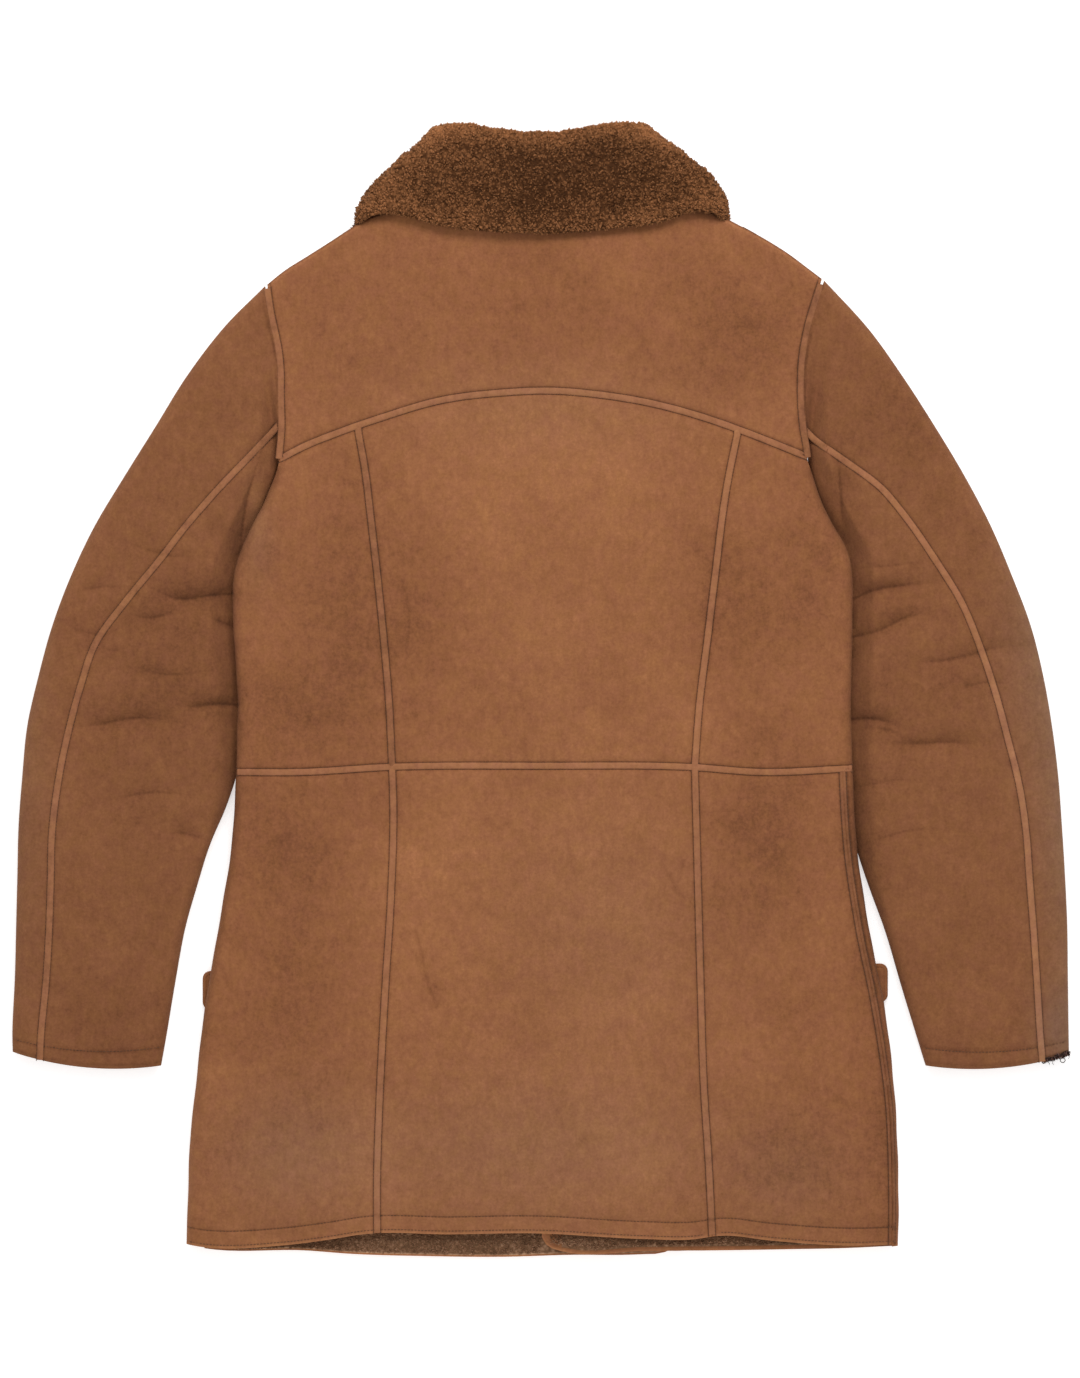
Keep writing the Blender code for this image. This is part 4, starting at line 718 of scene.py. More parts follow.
class Nodes:
    """A material under construction."""

    def __init__(self, name, colour, roughness, **fixed):
        self.mat = bpy.data.materials.new(name)
        self.mat.use_nodes = True
        self.tree = self.mat.node_tree
        self.shader = self.tree.nodes["Principled BSDF"]
        self.shader.inputs["Base Color"].default_value = (*colour, 1)
        self.shader.inputs["Roughness"].default_value = roughness
        for socket, value in fixed.items():
            self.shader.inputs[socket.replace("_", " ")].default_value = value
        self.coords = self.add("ShaderNodeTexCoord").outputs["Object"]

    def add(self, kind, **settings):
        node = self.tree.nodes.new(kind)
        for key, value in settings.items():
            setattr(node, key, value)
        return node

    def link(self, source, target):
        self.tree.links.new(source, target)

    def stretched(self, scale=(1, 1, 1), turn=0.0):
        node = self.add("ShaderNodeMapping")
        node.inputs["Scale"].default_value = scale
        node.inputs["Rotation"].default_value = (0, 0, turn)
        self.link(self.coords, node.inputs["Vector"])
        return node.outputs["Vector"]

    def noise(self, size, detail=3.0, rough=0.55, vector=None):
        """Noise with spots of about this many millimetres, from 0 to 1."""
        node = self.add("ShaderNodeTexNoise")
        node.inputs["Scale"].default_value = 1000.0 / size
        node.inputs["Detail"].default_value = detail
        node.inputs["Roughness"].default_value = rough
        self.link(vector or self.coords, node.inputs["Vector"])
        return node.outputs["Fac"]

    def cells(self, size):
        node = self.add("ShaderNodeTexVoronoi", feature="F1")
        node.inputs["Scale"].default_value = 1000.0 / size
        self.link(self.coords, node.inputs["Vector"])
        return node.outputs["Distance"]

    def tone(self, name="tone"):
        return self.add("ShaderNodeAttribute", attribute_name=name).outputs["Fac"]

    def sum(self, *terms, base=0.0):
        """The weighted sum of (output, weight) pairs, on a base."""
        total = None
        for output, weight in terms:
            node = self.add("ShaderNodeMath", operation="MULTIPLY_ADD")
            self.link(output, node.inputs[0])
            node.inputs[1].default_value = weight
            if total is None:
                node.inputs[2].default_value = base
            else:
                self.link(total, node.inputs[2])
            total = node.outputs[0]
        return total

    def ramp(self, source, stops):
        node = self.add("ShaderNodeValToRGB")
        elements = node.color_ramp.elements
        for _ in range(len(stops) - 2):
            elements.new(0.5)
        for element, (place, colour) in zip(elements, stops):
            element.position = place
            element.color = (*colour, 1)
        self.link(source, node.inputs[0])
        return node.outputs["Color"]

    def tinted(self, colour, share, tint):
        """A colour multiplied by a tint, where the share says so."""
        node = self.add("ShaderNodeMix", data_type="RGBA", blend_type="MULTIPLY")
        self.link(share, node.inputs["Factor"])
        self.link(colour, node.inputs["A"])
        if isinstance(tint, tuple):
            node.inputs["B"].default_value = (*tint, 1)
        else:
            self.link(tint, node.inputs["B"])
        return node.outputs["Result"]

    def colour(self, output):
        self.link(output, self.shader.inputs["Base Color"])

    def bump(self, height, strength, depth):
        node = self.add("ShaderNodeBump")
        node.inputs["Strength"].default_value = strength
        node.inputs["Distance"].default_value = depth * MM
        self.link(height, node.inputs["Height"])
        self.link(node.outputs["Normal"], self.shader.inputs["Normal"])


def scaled(colour, share, red=1.0):
    return (colour[0] * share * red, colour[1] * share, colour[2] * share)


SUEDE = (0.256, 0.100, 0.0420)
DUST_AND_SHEEN_TINT, PINK_TINT, GOLD_TINT = (0.96, 1.22, 1.62), (1.010, 0.991, 1.06), (0.990, 1.009, 0.94)


def suede(name, pale=1.0, fine=1.0):
    """Napped suede: tone runs from -1, darker and redder, to 1, paler. It has pinker and more golden spots,
    and is greyer where its grey share is 1: dusty patches, and painted sheen along the sleeves' outer sides."""
    m = Nodes(name, SUEDE, 0.95, Sheen_Weight=0.05, Sheen_Roughness=0.6, Sheen_Tint=(0.9, 0.62, 0.42, 1),
              Specular_IOR_Level=0.08)
    streaks = m.noise(4.5, 3.0, 0.6, m.stretched((1.0, 0.42, 1.0), 0.25))
    mottle = m.sum((m.tone(), 0.135), (m.noise(46, 2.0), 0.20), (m.noise(13, 3.0), 0.24),
                   (m.noise(6, 2.0), 0.26), (streaks, 0.34), (m.noise(2.2, 2.0, 0.7), 0.50 * fine),
                   base=-0.18 + 0.25 * (1 - fine))
    spread = [(0.0, scaled(SUEDE, 0.36 * pale, 1.06)), (0.25, scaled(SUEDE, 0.60 * pale, 1.05)),
              (0.45, scaled(SUEDE, 0.84 * pale, 1.03)), (0.60, scaled(SUEDE, 1.0 * pale)),
              (0.78, scaled(SUEDE, 1.22 * pale, 0.97)), (1.0, scaled(SUEDE, 1.6 * pale, 0.95))]
    spots = m.ramp(m.sum((m.noise(26, 3.0, 0.6), 0.5), (m.noise(8, 2.0), 0.5)),
                   [(0.38, PINK_TINT), (0.62, GOLD_TINT)])
    full = m.add("ShaderNodeValue")
    full.outputs[0].default_value = 1.0
    varied = m.tinted(m.ramp(mottle, spread), full.outputs[0], spots)
    m.colour(m.tinted(varied, m.tone("dust_and_sheen"), DUST_AND_SHEEN_TINT))
    m.bump(m.sum((m.noise(1.1, 2.0, 0.7), 0.5), (m.noise(3.4, 2.0), 0.5), (streaks, 0.3)), 0.35, 0.6)
    return m.mat


def fleece(name, dark, light, size, base=0.0):
    """Curly fleece: dark between the curls, painted shade, and paler on them, painted light."""
    m = Nodes(name, light, 0.95, Sheen_Weight=0.06, Sheen_Roughness=0.5, Sheen_Tint=(0.8, 0.58, 0.4, 1),
              Specular_IOR_Level=0.05)
    curls = m.sum((m.cells(size), -0.55), (m.noise(size * 0.8, 2.0), 0.55), (m.noise(26, 2.0), 0.25),
                  (m.tone(), 0.30), base=base)
    m.colour(m.ramp(curls, [(0.0, scaled(dark, 0.7)), (0.22, dark), (0.55, light),
                            (0.9, scaled(light, 1.5))]))
    m.bump(m.sum((m.cells(size), -1.0), (m.noise(size * 0.5, 2.0), 0.8)), 0.8, 1.2)
    return m.mat


def threads(name, colour, spread=0.25):
    m = Nodes(name, colour, 0.8, Sheen_Weight=0.15, Specular_IOR_Level=0.2)
    m.colour(m.ramp(m.noise(4.0), [(0.3, scaled(colour, 1 - spread)), (0.7, scaled(colour, 1 + spread))]))
    m.bump(m.noise(0.5), 0.4, 0.1)
    return m.mat


def horn():
    m = Nodes("horn", (0.05, 0.022, 0.011), 0.3, Specular_IOR_Level=0.5, Coat_Weight=0.2)
    bands = m.noise(9.0, 3.0, 0.6, m.stretched((1.0, 0.3, 1.0), 0.7))
    m.colour(m.ramp(bands, [(0.35, (0.022, 0.009, 0.005)), (0.6, (0.085, 0.037, 0.017)),
                            (0.8, (0.19, 0.095, 0.045))]))
    m.bump(m.noise(1.2), 0.15, 0.2)
    return m.mat


LOOKS = {"suede": suede("suede"), "suede_strap": suede("suede_strap", 1.27, 0.7),
         "suede_sleeve": suede("suede_sleeve", 0.81), "suede_underside": suede("suede_underside", 0.97),
         # The fronts' inside fleece and the hem's curls are paler than the collar's: partly painted light,
         # lifting the shade beneath the back's hem.
         "inside": fleece("inside", (0.21, 0.11, 0.058), (0.40, 0.23, 0.138), 3.4),
         "collar": fleece("collar", (0.068, 0.026, 0.0095), (0.23, 0.094, 0.036), 3.3, 0.12),
         "tufts": fleece("fleece_tufts", (0.076, 0.028, 0.0100), (0.27, 0.112, 0.044), 2.8, 0.20),
         "hem_tufts": fleece("hem_tufts", (0.27, 0.134, 0.070), (0.48, 0.265, 0.158), 3.0, 0.1),
         "frayed": fleece("frayed", (0.030, 0.018, 0.016), (0.24, 0.13, 0.11), 1.6),
         "thread": threads("thread", (0.100, 0.042, 0.018)),
         "loose_thread": threads("loose_thread", (0.045, 0.036, 0.030)), "horn": horn()}


# ---- body ----------------------------------------------------------------------------------------

def sampled(table, level, start=None, end=None, step=4.0):
    """Plan points along a level curve y(x) or an upright one x(y)."""
    start = table[0][0] if start is None else start
    end = table[-1][0] if end is None else end
    along = np.linspace(start, end, max(2, int(abs(end - start) / step)))
    other = smooth(table, along)
    return np.column_stack([along, other] if level else [other, along])


side_rows = np.linspace(-443, -64, 95)
right_side_seam = np.column_stack([smooth(RIGHT_EDGE, side_rows) - smooth(SIDE_SEAM_IN, side_rows),
                                   side_rows])
SEAMS = {"yoke": sampled(YOKE, True, -209.3, 214.4), "waist": sampled(WAIST, True, -241.5, 249.5),
         "upper_left": sampled(LEFT_PRINCESS, False, -61.0, 212.5),
         "upper_right": sampled(RIGHT_PRINCESS, False, -61.0, 208.0),
         "skirt_left": sampled(LEFT_SKIRT_SEAM, False, -437.0, -63.0),
         "skirt_right": sampled(RIGHT_SKIRT_SEAM, False, -438.5, -63.0),
         "side_right": right_side_seam,
         "armhole_left": sampled(LEFT_ARMHOLE, False, 184.5, 323.5),
         "armhole_right": sampled(RIGHT_ARMHOLE, False, 185.5, 327.0)}
OVERLAP_MARKS = (-20, 1.6, 25, 84.8, 109.8, 118)


def hem_relief(x, y, hem):
    """The groove of the stitches that hold the turned hem, and the soft roll below them."""
    up = y - smooth(hem, x)
    return (-0.5 * bell(up - HEM_STITCH, 0.9) + 0.5 * bell(up - 5.0, 3.5)
            - 0.9 * bell(up, 1.3) + 0.16 * np.sin(x * 0.55) * bell(up - 12, 5.0))


def hem_tone(x, y, hem):
    """The hem is paler along its edge, and darker in its lines of stitches: painted shade in their grooves.
    """
    up = y - smooth(hem, x)
    return 2.6 * bell(up, 2.0) + 0.35 * bell(up, 16.0) \
        - 2.0 * bell(up - HEM_STITCH, 0.6) - 0.6 * bell(up - 3.1, 0.6)


def dressed(x, y, z, seams, hem=None):
    """The CAD height with the face's swells, creases, seams and hem."""
    face = z + uneven(x, y) + seam_relief(x, y, [SEAMS[name] for name in seams])
    return face if hem is None else face + hem_relief(x, y, hem)


def slab(name, panel, low, high, seams, hem=None, up=True):
    """A panel between two layer heights: up tells whether its suede face is the upper one."""
    x, y = panel.x, panel.y
    top, bottom = high(x, y), low(x, y)
    tone = tone_at(x, y) + seam_tone(x, y, [SEAMS[s] for s in seams])
    if name == "yoke":
        in_from_edge = smooth(SHOULDERS, x) - y
        under_collar = smooth(COLLAR_EDGE, x) - y
        # Painted light just below the collar's edge, against the shadow that the collar casts.
        tone = tone + 1.2 * (np.abs(x) < 138) * bell(under_collar - 1.5, 3.2)
        # Along the shoulders' edge: a painted highlight a little inside it and painted shade at the edge.
        tone = tone + (np.abs(x) > 100) * (1.6 * bell(in_from_edge - 2.6, 1.1)
                                           - 2.6 * bell(in_from_edge, 1.2))
    if up:
        outer, inner = points(x, y, dressed(x, y, top, seams, hem)), points(x, y, bottom)
        skin = LOOKS["suede"]
    else:
        fade = np.minimum(1.0, ease((y - panel.y[:1]) / 10.0))
        relief = 0.35 * fade * (1 + waves(x, y, 30, 31)) * 0.5
        outer, inner = points(x, y, np.maximum(bottom + relief, 0.0)), points(x, y, top)
        skin = LOOKS["suede_underside"]
    if hem is not None:
        tone = tone + hem_tone(x, y, hem)
    return wall(name, outer, inner, [skin, LOOKS["inside"]], tone=tone, bottom_rim=2 if hem else 0)


def folded_slab(name, panel, on_top, seam_in, interface, seams, hem=None, arc_count=10):
    side = panel.fold
    fold_x, fold_y = (panel.left_x, panel.left_y) if side < 0 else (panel.right_x, panel.right_y)
    flat = panel.x[:, ::-1] if side < 0 else panel.x
    far = seam_in(fold_y) - HALF_SEAM
    short = float(far.max()) < FOLD_RADIUS
    last = -np.arccos(np.clip(1 - far / FOLD_RADIUS, -1, 1)) if short else np.full_like(far, -math.pi / 2)
    angles = math.pi / 2 + (last - math.pi / 2) * np.arange(1, arc_count + 1) / arc_count
    away = FOLD_RADIUS * (1 - np.cos(angles))
    swing = np.concatenate([np.ones_like(flat), np.sin(angles)], axis=1)
    if not short:
        away = np.concatenate([away, far], axis=1)
        swing = np.concatenate([swing, -np.ones_like(far)], axis=1)
    x = np.concatenate([flat, fold_x - side * away], axis=1)
    limit = flat[:, :1] if panel.limit is None else panel.limit
    squeeze = (np.abs(fold_x - limit) - far - FOLD_ROOM) / (np.abs(fold_x - limit) - FOLD_RADIUS)
    inner_flat = np.where((flat - limit) * side > 0, limit + (flat - limit) * squeeze, flat)
    shares = np.maximum(1 - np.arange(away.shape[1] + 1) / (0.5 * arc_count), 0)
    inner_x = np.concatenate([inner_flat[:, :-1], fold_x - side * (far + FOLD_ROOM * shares)], axis=1)
    y, inner_y = panel.at(x), panel.at(inner_x)
    if on_top:
        beneath = (1 - panel.v) * panel.bottom(x) + panel.v * panel.top(fold_x) + panel.shift
        beneath_in = (1 - panel.v) * panel.bottom(inner_x) + panel.v * panel.top(fold_x) + panel.shift
        y = np.where(swing < 0, beneath, y)
        inner_y = np.where(swing < 0.5, beneath_in, inner_y)
    roundness = side_roundness(fold_y)
    swing = np.sign(np.round(swing, 9)) * (1 - roundness) + swing * roundness
    turned = swing if on_top else -swing
    middle = fold_middle(x, y)
    z = middle + np.where(turned > 0, turned * (back_flat(x, y) - middle),
                          turned * (middle - side_lift(x, y)))
    count = flat.shape[1]
    if not on_top:
        z[:, :count] = right_front_low(x[:, :count], y[:, :count])
    inner_z = interface(inner_x, inner_y)
    down = np.cumsum(swing < 0, axis=1) / (np.sum(swing < 0, axis=1, keepdims=True) + 1)
    inner_z = inner_z + (z[:, -1:] - inner_z) * down
    relief = dressed(x, y, z, seams, hem) - z
    tone = tone_at(x, y) + seam_tone(x, y, [SEAMS[s] for s in seams])
    z = np.maximum(z + relief * np.clip(turned, 0, 1), 0.0)
    bulge = np.cos(np.arcsin(np.clip(swing, -1, 1))) * 0.35 * waves(x * 0.3, y, 40, 8)
    x = x + side * bulge * (np.abs(swing) < 0.999)
    if hem is not None:
        tone = tone + hem_tone(x, y, hem)
    skin = LOOKS["suede"] if on_top else LOOKS["suede_underside"]
    underlap = not on_top
    if underlap:
        tone = tone + 3.0 * bell(x - UNDERLAP_EDGE, 4.0)
    return wall(name, points(x, y, z), points(inner_x, inner_y, inner_z), [skin, LOOKS["inside"]], tone=tone,
                bottom_rim=5 if underlap else 2 if hem else 0, side_rim=4 if underlap else 0)


def stepped(armhole, edge, side, step):
    inset = UNDER_SEAM + SEAM_ROOM
    return lambda y: np.where(np.asarray(y) > step, smooth(armhole, y), smooth(edge, y) - side * inset)


def body():
    """The panels of the back and of the two fronts."""
    under = straight(UNDER_SEAM)
    right_seam = lambda y: smooth(RIGHT_EDGE, y) - smooth(SIDE_SEAM_IN, y)
    yoke, waist, hem = curve(YOKE), curve(WAIST), curve(BACK_HEM)
    left_edge, right_edge = curve(LEFT_EDGE), curve(RIGHT_EDGE)
    upper_left, upper_right = curve(LEFT_PRINCESS), curve(RIGHT_PRINCESS)
    skirt_left, skirt_right = curve(LEFT_SKIRT_SEAM), curve(RIGHT_SKIRT_SEAM)
    overlap, underlap = straight(OVERLAP_EDGE), straight(UNDERLAP_EDGE)
    fine, coarse = 3.6, 9.0
    pieces = {}
    pieces["back_yoke"] = slab(
        "yoke", Panel(curve(LEFT_ARMHOLE), curve(RIGHT_ARMHOLE), yoke, curve(SHOULDERS), fine, OVERLAP_MARKS,
                      crest=True), back_bottom, back_top, ["yoke", "armhole_left", "armhole_right"])
    pieces["back_centre_upper"] = slab(
        "centre_back", Panel(upper_left, upper_right, waist, yoke, fine, OVERLAP_MARKS), back_bottom,
        back_top, ["yoke", "waist", "upper_left", "upper_right"])
    pieces["back_centre_skirt"] = slab(
        "centre_skirt", Panel(skirt_left, skirt_right, hem, waist, 3.2, OVERLAP_MARKS, hem=True), back_bottom,
        back_top, ["waist", "skirt_left", "skirt_right"], BACK_HEM)
    pieces["back_side_upper_left"] = folded_slab(
        "side_back_left", Panel(left_edge, upper_left, waist, yoke, fine, fold=-1), True, under, back_bottom,
        ["yoke", "waist", "upper_left"])
    pieces["back_side_upper_right"] = folded_slab(
        "side_back_right", Panel(upper_right, right_edge, waist, yoke, fine, fold=1), True, under,
        back_bottom, ["yoke", "waist", "upper_right"])
    pieces["back_side_skirt_left"] = folded_slab(
        "side_skirt_left", Panel(left_edge, skirt_left, hem, waist, fine, fold=-1, hem=True), True, under,
        back_bottom, ["waist", "skirt_left"], BACK_HEM)
    pieces["back_side_skirt_right"] = slab(
        "side_skirt_right", Panel(skirt_right, right_seam, hem, waist, fine, hem=True), back_bottom, back_top,
        ["waist", "skirt_right", "side_right"], BACK_HEM)
    pieces["front_upper_left"] = slab(
        "front_left", Panel(stepped(LEFT_ARMHOLE, LEFT_EDGE, -1, LEFT_ARMPIT), overlap, waist,
                            curve(LEFT_FRONT_TOP), coarse, (84.8,), crest=True),
        left_front_low, left_front_top, [], up=False)
    pieces["front_upper_right"] = slab(
        "front_right", Panel(underlap, stepped(RIGHT_ARMHOLE, RIGHT_EDGE, 1, RIGHT_ARMPIT), waist,
                             curve(RIGHT_FRONT_TOP), coarse, (25, 84.8, 109.8, 118), crest=True),
        right_front_bottom, right_front_top, [], up=False)
    pieces["front_skirt_left"] = slab(
        "front_skirt_left_lower", Panel(lambda y: smooth(LEFT_EDGE, y) + UNDER_SEAM + SEAM_ROOM, overlap,
                                        curve(LEFT_FRONT_HEM), waist, coarse, (84.8,), hem=True),
        left_front_low, left_front_top, [], LEFT_FRONT_HEM, up=False)
    pieces["front_skirt_right"] = folded_slab(
        "front_skirt_right_lower", Panel(underlap, right_edge, curve(RIGHT_FRONT_HEM), waist, 7.0,
                                         (25, 84.8, 109.8, 118), fold=1, hem=True),
        False, curve(SIDE_SEAM_IN), right_front_top, ["side_right"], RIGHT_FRONT_HEM)
    return pieces


# ---- sleeves -------------------------------------------------------------------------------------

SLEEVES = {"left": (LEFT_SLEEVE, LEFT_ARMHOLE), "right": (RIGHT_SLEEVE, RIGHT_ARMHOLE)}


def sleeve_station(table, k):
    rows = np.asarray(table, float)
    order = np.arange(len(rows))
    return {name: smooth(np.column_stack([order, rows[:, i]]), k) for i, name in enumerate(SLEEVE_COLUMNS)}


def sleeve_plan(table, armhole, k, u):
    s = sleeve_station(table, k)
    along_x, along_y = s["inner_x"] - s["outer_x"], s["inner_y"] - s["outer_y"]
    width = np.hypot(along_x, along_y)
    side = np.sign(along_x)
    bow = 4 * s["bow"] * u * (1 - u)
    x = s["outer_x"] + along_x * u + side * along_y / width * bow
    y = s["outer_y"] + along_y * u - side * along_x / width * bow
    first = table[0]
    first_y = first[1] + (first[3] - first[1]) * u
    first_x = first[0] + (first[2] - first[0]) * u
    x = x + np.maximum(0.0, 1 - k / 3) * (smooth(armhole, first_y) - side * ARMHOLE_GAP - first_x)
    return x, y, width, s


def sleeve_seam(name):
    """The plan path of a sleeve's hind seam, on its upper face."""
    table, armhole = SLEEVES[name]
    k = np.linspace(0.05, 16.0, 150)
    return np.column_stack(sleeve_plan(table, armhole, k, sleeve_station(table, k)["hind"])[:2])


def sleeve_piece(name, part):
    """The top sleeve or the under sleeve of one arm."""
    table, armhole = SLEEVES[name]
    k = np.concatenate([np.linspace(0.03, 15.3, 235),
                        [15.45, 15.55, 15.62, 15.69, 15.78, 15.88, 15.95, 16.0]])[:, None]
    _, _, width, s = sleeve_plan(table, armhole, k, np.zeros_like(k))
    gap, flat = HALF_SEAM / width, SLEEVE_FOLD / width
    arc = np.linspace(math.pi / 2, -math.pi / 2, 13)
    arc_in = SLEEVE_FOLD * (1 - np.cos(arc)) / width
    slit_in = (SLEEVE_FOLD - 1.5 + 1.5 * (1 - np.cos(arc))) / width
    hind = s["hind"]

    def run(start, end, step, seam_first=False, seam_last=False):
        near = NEAR / width
        count = max(2, round(float(np.mean(np.abs(end - start) * width)) / step))
        sign = np.sign(end - start)
        marks = []
        first, last = start, end
        if seam_first:
            marks += [start + sign * (near[:, i:i + 1] - near[:, :1]) for i in range(near.shape[1] - 1)]
            first = start + sign * (near[:, -1:] - near[:, :1])
        if seam_last:
            last = end - sign * (near[:, -1:] - near[:, :1])
        marks += [first + (last - first) * i / count for i in range(count + 1)]
        if seam_last:
            marks += [end - sign * (near[:, i:i + 1] - near[:, :1]) for i in range(near.shape[1] - 2, -1, -1)]
        return np.concatenate(marks, axis=1)

    if part == "top":
        above = run(hind - gap, flat, 4.0, seam_first=True)[:, :-1]
        below = run(flat, FOREARM_SEAM - gap, 7.0, seam_last=True)[:, 1:]
        turn = arc_in, slit_in
    else:
        above = run(hind + gap, 1 - flat, 4.0, seam_first=True)[:, :-1]
        below = run(1 - flat, FOREARM_SEAM + gap, 4.0, seam_last=True)[:, 1:]
        turn = 1 - arc_in, 1 - slit_in
    u = np.concatenate([above, turn[0], below], axis=1)
    slit_u = np.concatenate([above, turn[1], below], axis=1)
    swing = np.concatenate([np.ones(above.shape[1]), np.sin(arc), -np.ones(below.shape[1])])[None, :]
    top_seam = sleeve_seam(name)

    def face(u):
        x, y, _, s = sleeve_plan(table, armhole, k, u)
        height = s["height"] + np.zeros_like(x)
        height = height + (np.minimum(height, over_sleeve(x, y)) - height) * ease((k - 0.2) / 0.5)
        middle = height / 2
        relief = uneven(x, y) + seam_relief(x, y, [top_seam])
        cuff = cuff_distance(table, k) + 0 * x
        relief = relief - 0.5 * bell(cuff - CUFF_STITCH, 1.0) + 0.4 * bell(cuff - 4.0, 4.0) \
            - 1.6 * bell(cuff, 1.5)
        relief = relief * ease(k / 0.25)
        top = np.maximum(height - lines(x, y, CREASES) + relief, middle + 2.2)
        low_relief = 0.4 * (1 + waves(x, y, 26, 41)) * 0.5 * ease(k / 0.25)
        z = middle + np.where(swing > 0, swing * (top - middle), swing * (middle - low_relief))
        return x, y, z, middle, cuff

    x, y, z, _, cuff = face(u)
    in_x, in_y, _, in_middle, _ = face(slit_u)
    # Painted shade in the cuff's stitch groove; the cuff is paler at its edge and darker 3 mm in.
    tone = tone_at(x, y) + seam_tone(x, y, [top_seam], 1.0 if name == "left" else 1.7) \
        + 0.5 * bell(cuff, 1.2) - 2.4 * bell(cuff - CUFF_STITCH, 0.7) - 0.8 * bell(cuff - 3.0, 1.0)
    # Painted shade along the sleeve beside the armhole's strap.
    away, _, _ = near_path(x, y, SEAMS[f"armhole_{name}"])
    tone = tone - 2.4 * bell(away - 3.4, 0.7)
    # Painted light on the sleeve's folded edges, where the bright floor lights them.
    edge = np.abs(swing) < 0.98
    tone = tone + np.where(edge, 0.25, 0.0)
    if name == "right":
        torn = np.exp(-((x - 414) / 11) ** 4 - ((y - torn_edge(x) - 1.8) / 2.7) ** 4)
        tone = tone - 2.6 * torn
        z = z - 0.8 * torn * (swing > 0) * (1 + waves(x, y, 5, 77))
    return wall(f"sleeve_{name}_{part}_hide", points(x, y, np.maximum(z, 0.0)),
                points(in_x, in_y, in_middle + SLEEVE_SLIT * swing), [LOOKS["suede_sleeve"], LOOKS["inside"]],
                tone=tone)


def torn_edge(x):
    """The right cuff's edge where it is torn, at its outer corner."""
    return -299.0 + 0.27 * (x - 402.0)


def cuff_distance(table, k):
    """Millimetres from the cuff's edge, along the sleeve's middle."""
    places = np.linspace(0, 16, 161)
    s = sleeve_station(table, places)
    x, y = 0.5 * (s["outer_x"] + s["inner_x"]), 0.5 * (s["outer_y"] + s["inner_y"])
    along = np.concatenate([[0], np.cumsum(np.hypot(np.diff(x), np.diff(y)))])
    return along[-1] - np.interp(k, places, along)


def sleeves():
    return {f"sleeve_{name}_{part}": sleeve_piece(name, part)
            for name in ("left", "right") for part in ("top", "under")}


# ---- collar --------------------------------------------------------------------------------------

FALL = np.array([(1.0, 5.5, 1.0), (0.985, 8.0, 0.985), (0.94, 9.2, 0.94), (0.75, 10, 0.75), (0.5, 10, 0.5),
                 (0.25, 10, 0.28), (0.06, 9, 0.17)])
STAND = np.array([(0.06, -7.0, 0.22), (0.35, -8, 0.4), (0.7, -8, 0.7), (1.0, -7.6, 1.0)])


def neck_slit(x, y, roll_y):
    neck_y = smooth(NECK_SEAM, x)
    roll = 27.0 - 9.0 * np.clip(1 - ((x - CENTRE) / 75) ** 2, 0, 1)
    seat = back_flat(x, np.minimum(y, neck_y - 2)) + COLLAR_SEAT
    return roll + (seat - roll) * ease((roll_y - y) / (roll_y - neck_y))


def fold_bow(side, level):
    """How far the fold on this side bows out between the roll and the fall's edge."""
    depth, lean = COLLAR_BOW[side]
    return side * depth * np.sin(math.pi * level ** lean)


def collar_back(share, level, stand):
    inset = STAND_FOLD if stand else COLLAR_FOLD
    roll_from, roll_to = COLLAR_ROLL[0][0], COLLAR_ROLL[-1][0]
    far = NECK_SEAM if stand else COLLAR_EDGE
    near_inset = inset + (COLLAR_HIDE if stand else 0)
    roll_x = roll_from + near_inset + (roll_to - roll_from - 2 * near_inset) * share
    far_x = far[0][0] + inset + (far[-1][0] - far[0][0] - 2 * inset) * share
    roll_y = smooth(COLLAR_ROLL, roll_x)
    x = roll_x + (far_x - roll_x) * level
    y = roll_y + (smooth(far, far_x) - roll_y) * level
    if not stand:
        x = x + fold_bow(1 if share > 0.5 else -1, level) * abs(2 * share - 1) ** 3
    return x, y, neck_slit(x, y, roll_y)


def collar_leaf(share, level, stand):
    roll_x, roll_y = route(LEAF_ROLL, share)
    far_x, far_y = route(LEAF_NECK if stand else LEAF_EDGE, share)
    if stand:
        roll_x = roll_x + (COLLAR_HIDE - 2) * (1 - share)
    return roll_x + (far_x - roll_x) * level, roll_y + (far_y - roll_y) * level


def collar_row(kind, where, level, offset, stand):
    if kind == "back":
        x, y, slit = collar_back(where, level, stand)
        return points(x, y, slit + offset)
    side, place = where
    leaf_share = place if kind == "leaf" else 0.0
    leaf_x, leaf_y = collar_leaf(leaf_share, level, stand)
    leaf_z = LEAF_SLIT * (1 - offset / COLLAR_HIDE)
    if side > 0:
        leaf_x = 2 * CENTRE - leaf_x
    if not stand:
        leaf_x = leaf_x + fold_bow(side, level) * (1 - leaf_share) ** 3
    if kind == "leaf":
        return points(leaf_x, leaf_y, leaf_z)
    back_x, back_y, slit = collar_back(0.0 if side < 0 else 1.0, level, stand)
    back_z = slit + offset
    turn = math.sin(place)
    inset = STAND_FOLD if stand else COLLAR_FOLD
    thick = (COLLAR_HIDE - offset) * (STAND_FOLD - 5) / (COLLAR_HIDE + STAND_HIDE) if stand else \
        np.clip(COLLAR_HIDE - offset, 0, COLLAR_HIDE) * 0.8
    bulge = (inset - thick) * math.cos(place)
    x = 0.5 * (back_x + leaf_x) + turn * 0.5 * (back_x - leaf_x) + side * bulge
    y = 0.5 * (back_y + leaf_y) + turn * 0.5 * (back_y - leaf_y)
    z = 0.5 * (back_z + leaf_z) + turn * 0.5 * (back_z - leaf_z)
    return points(x, y, z)


def finer(table, count):
    """The same table at more places, for a finer ring."""
    order = np.linspace(0, len(table) - 1, count)
    return np.stack([np.interp(order, np.arange(len(table)), table[:, i]) for i in range(table.shape[1])],
                    axis=1)


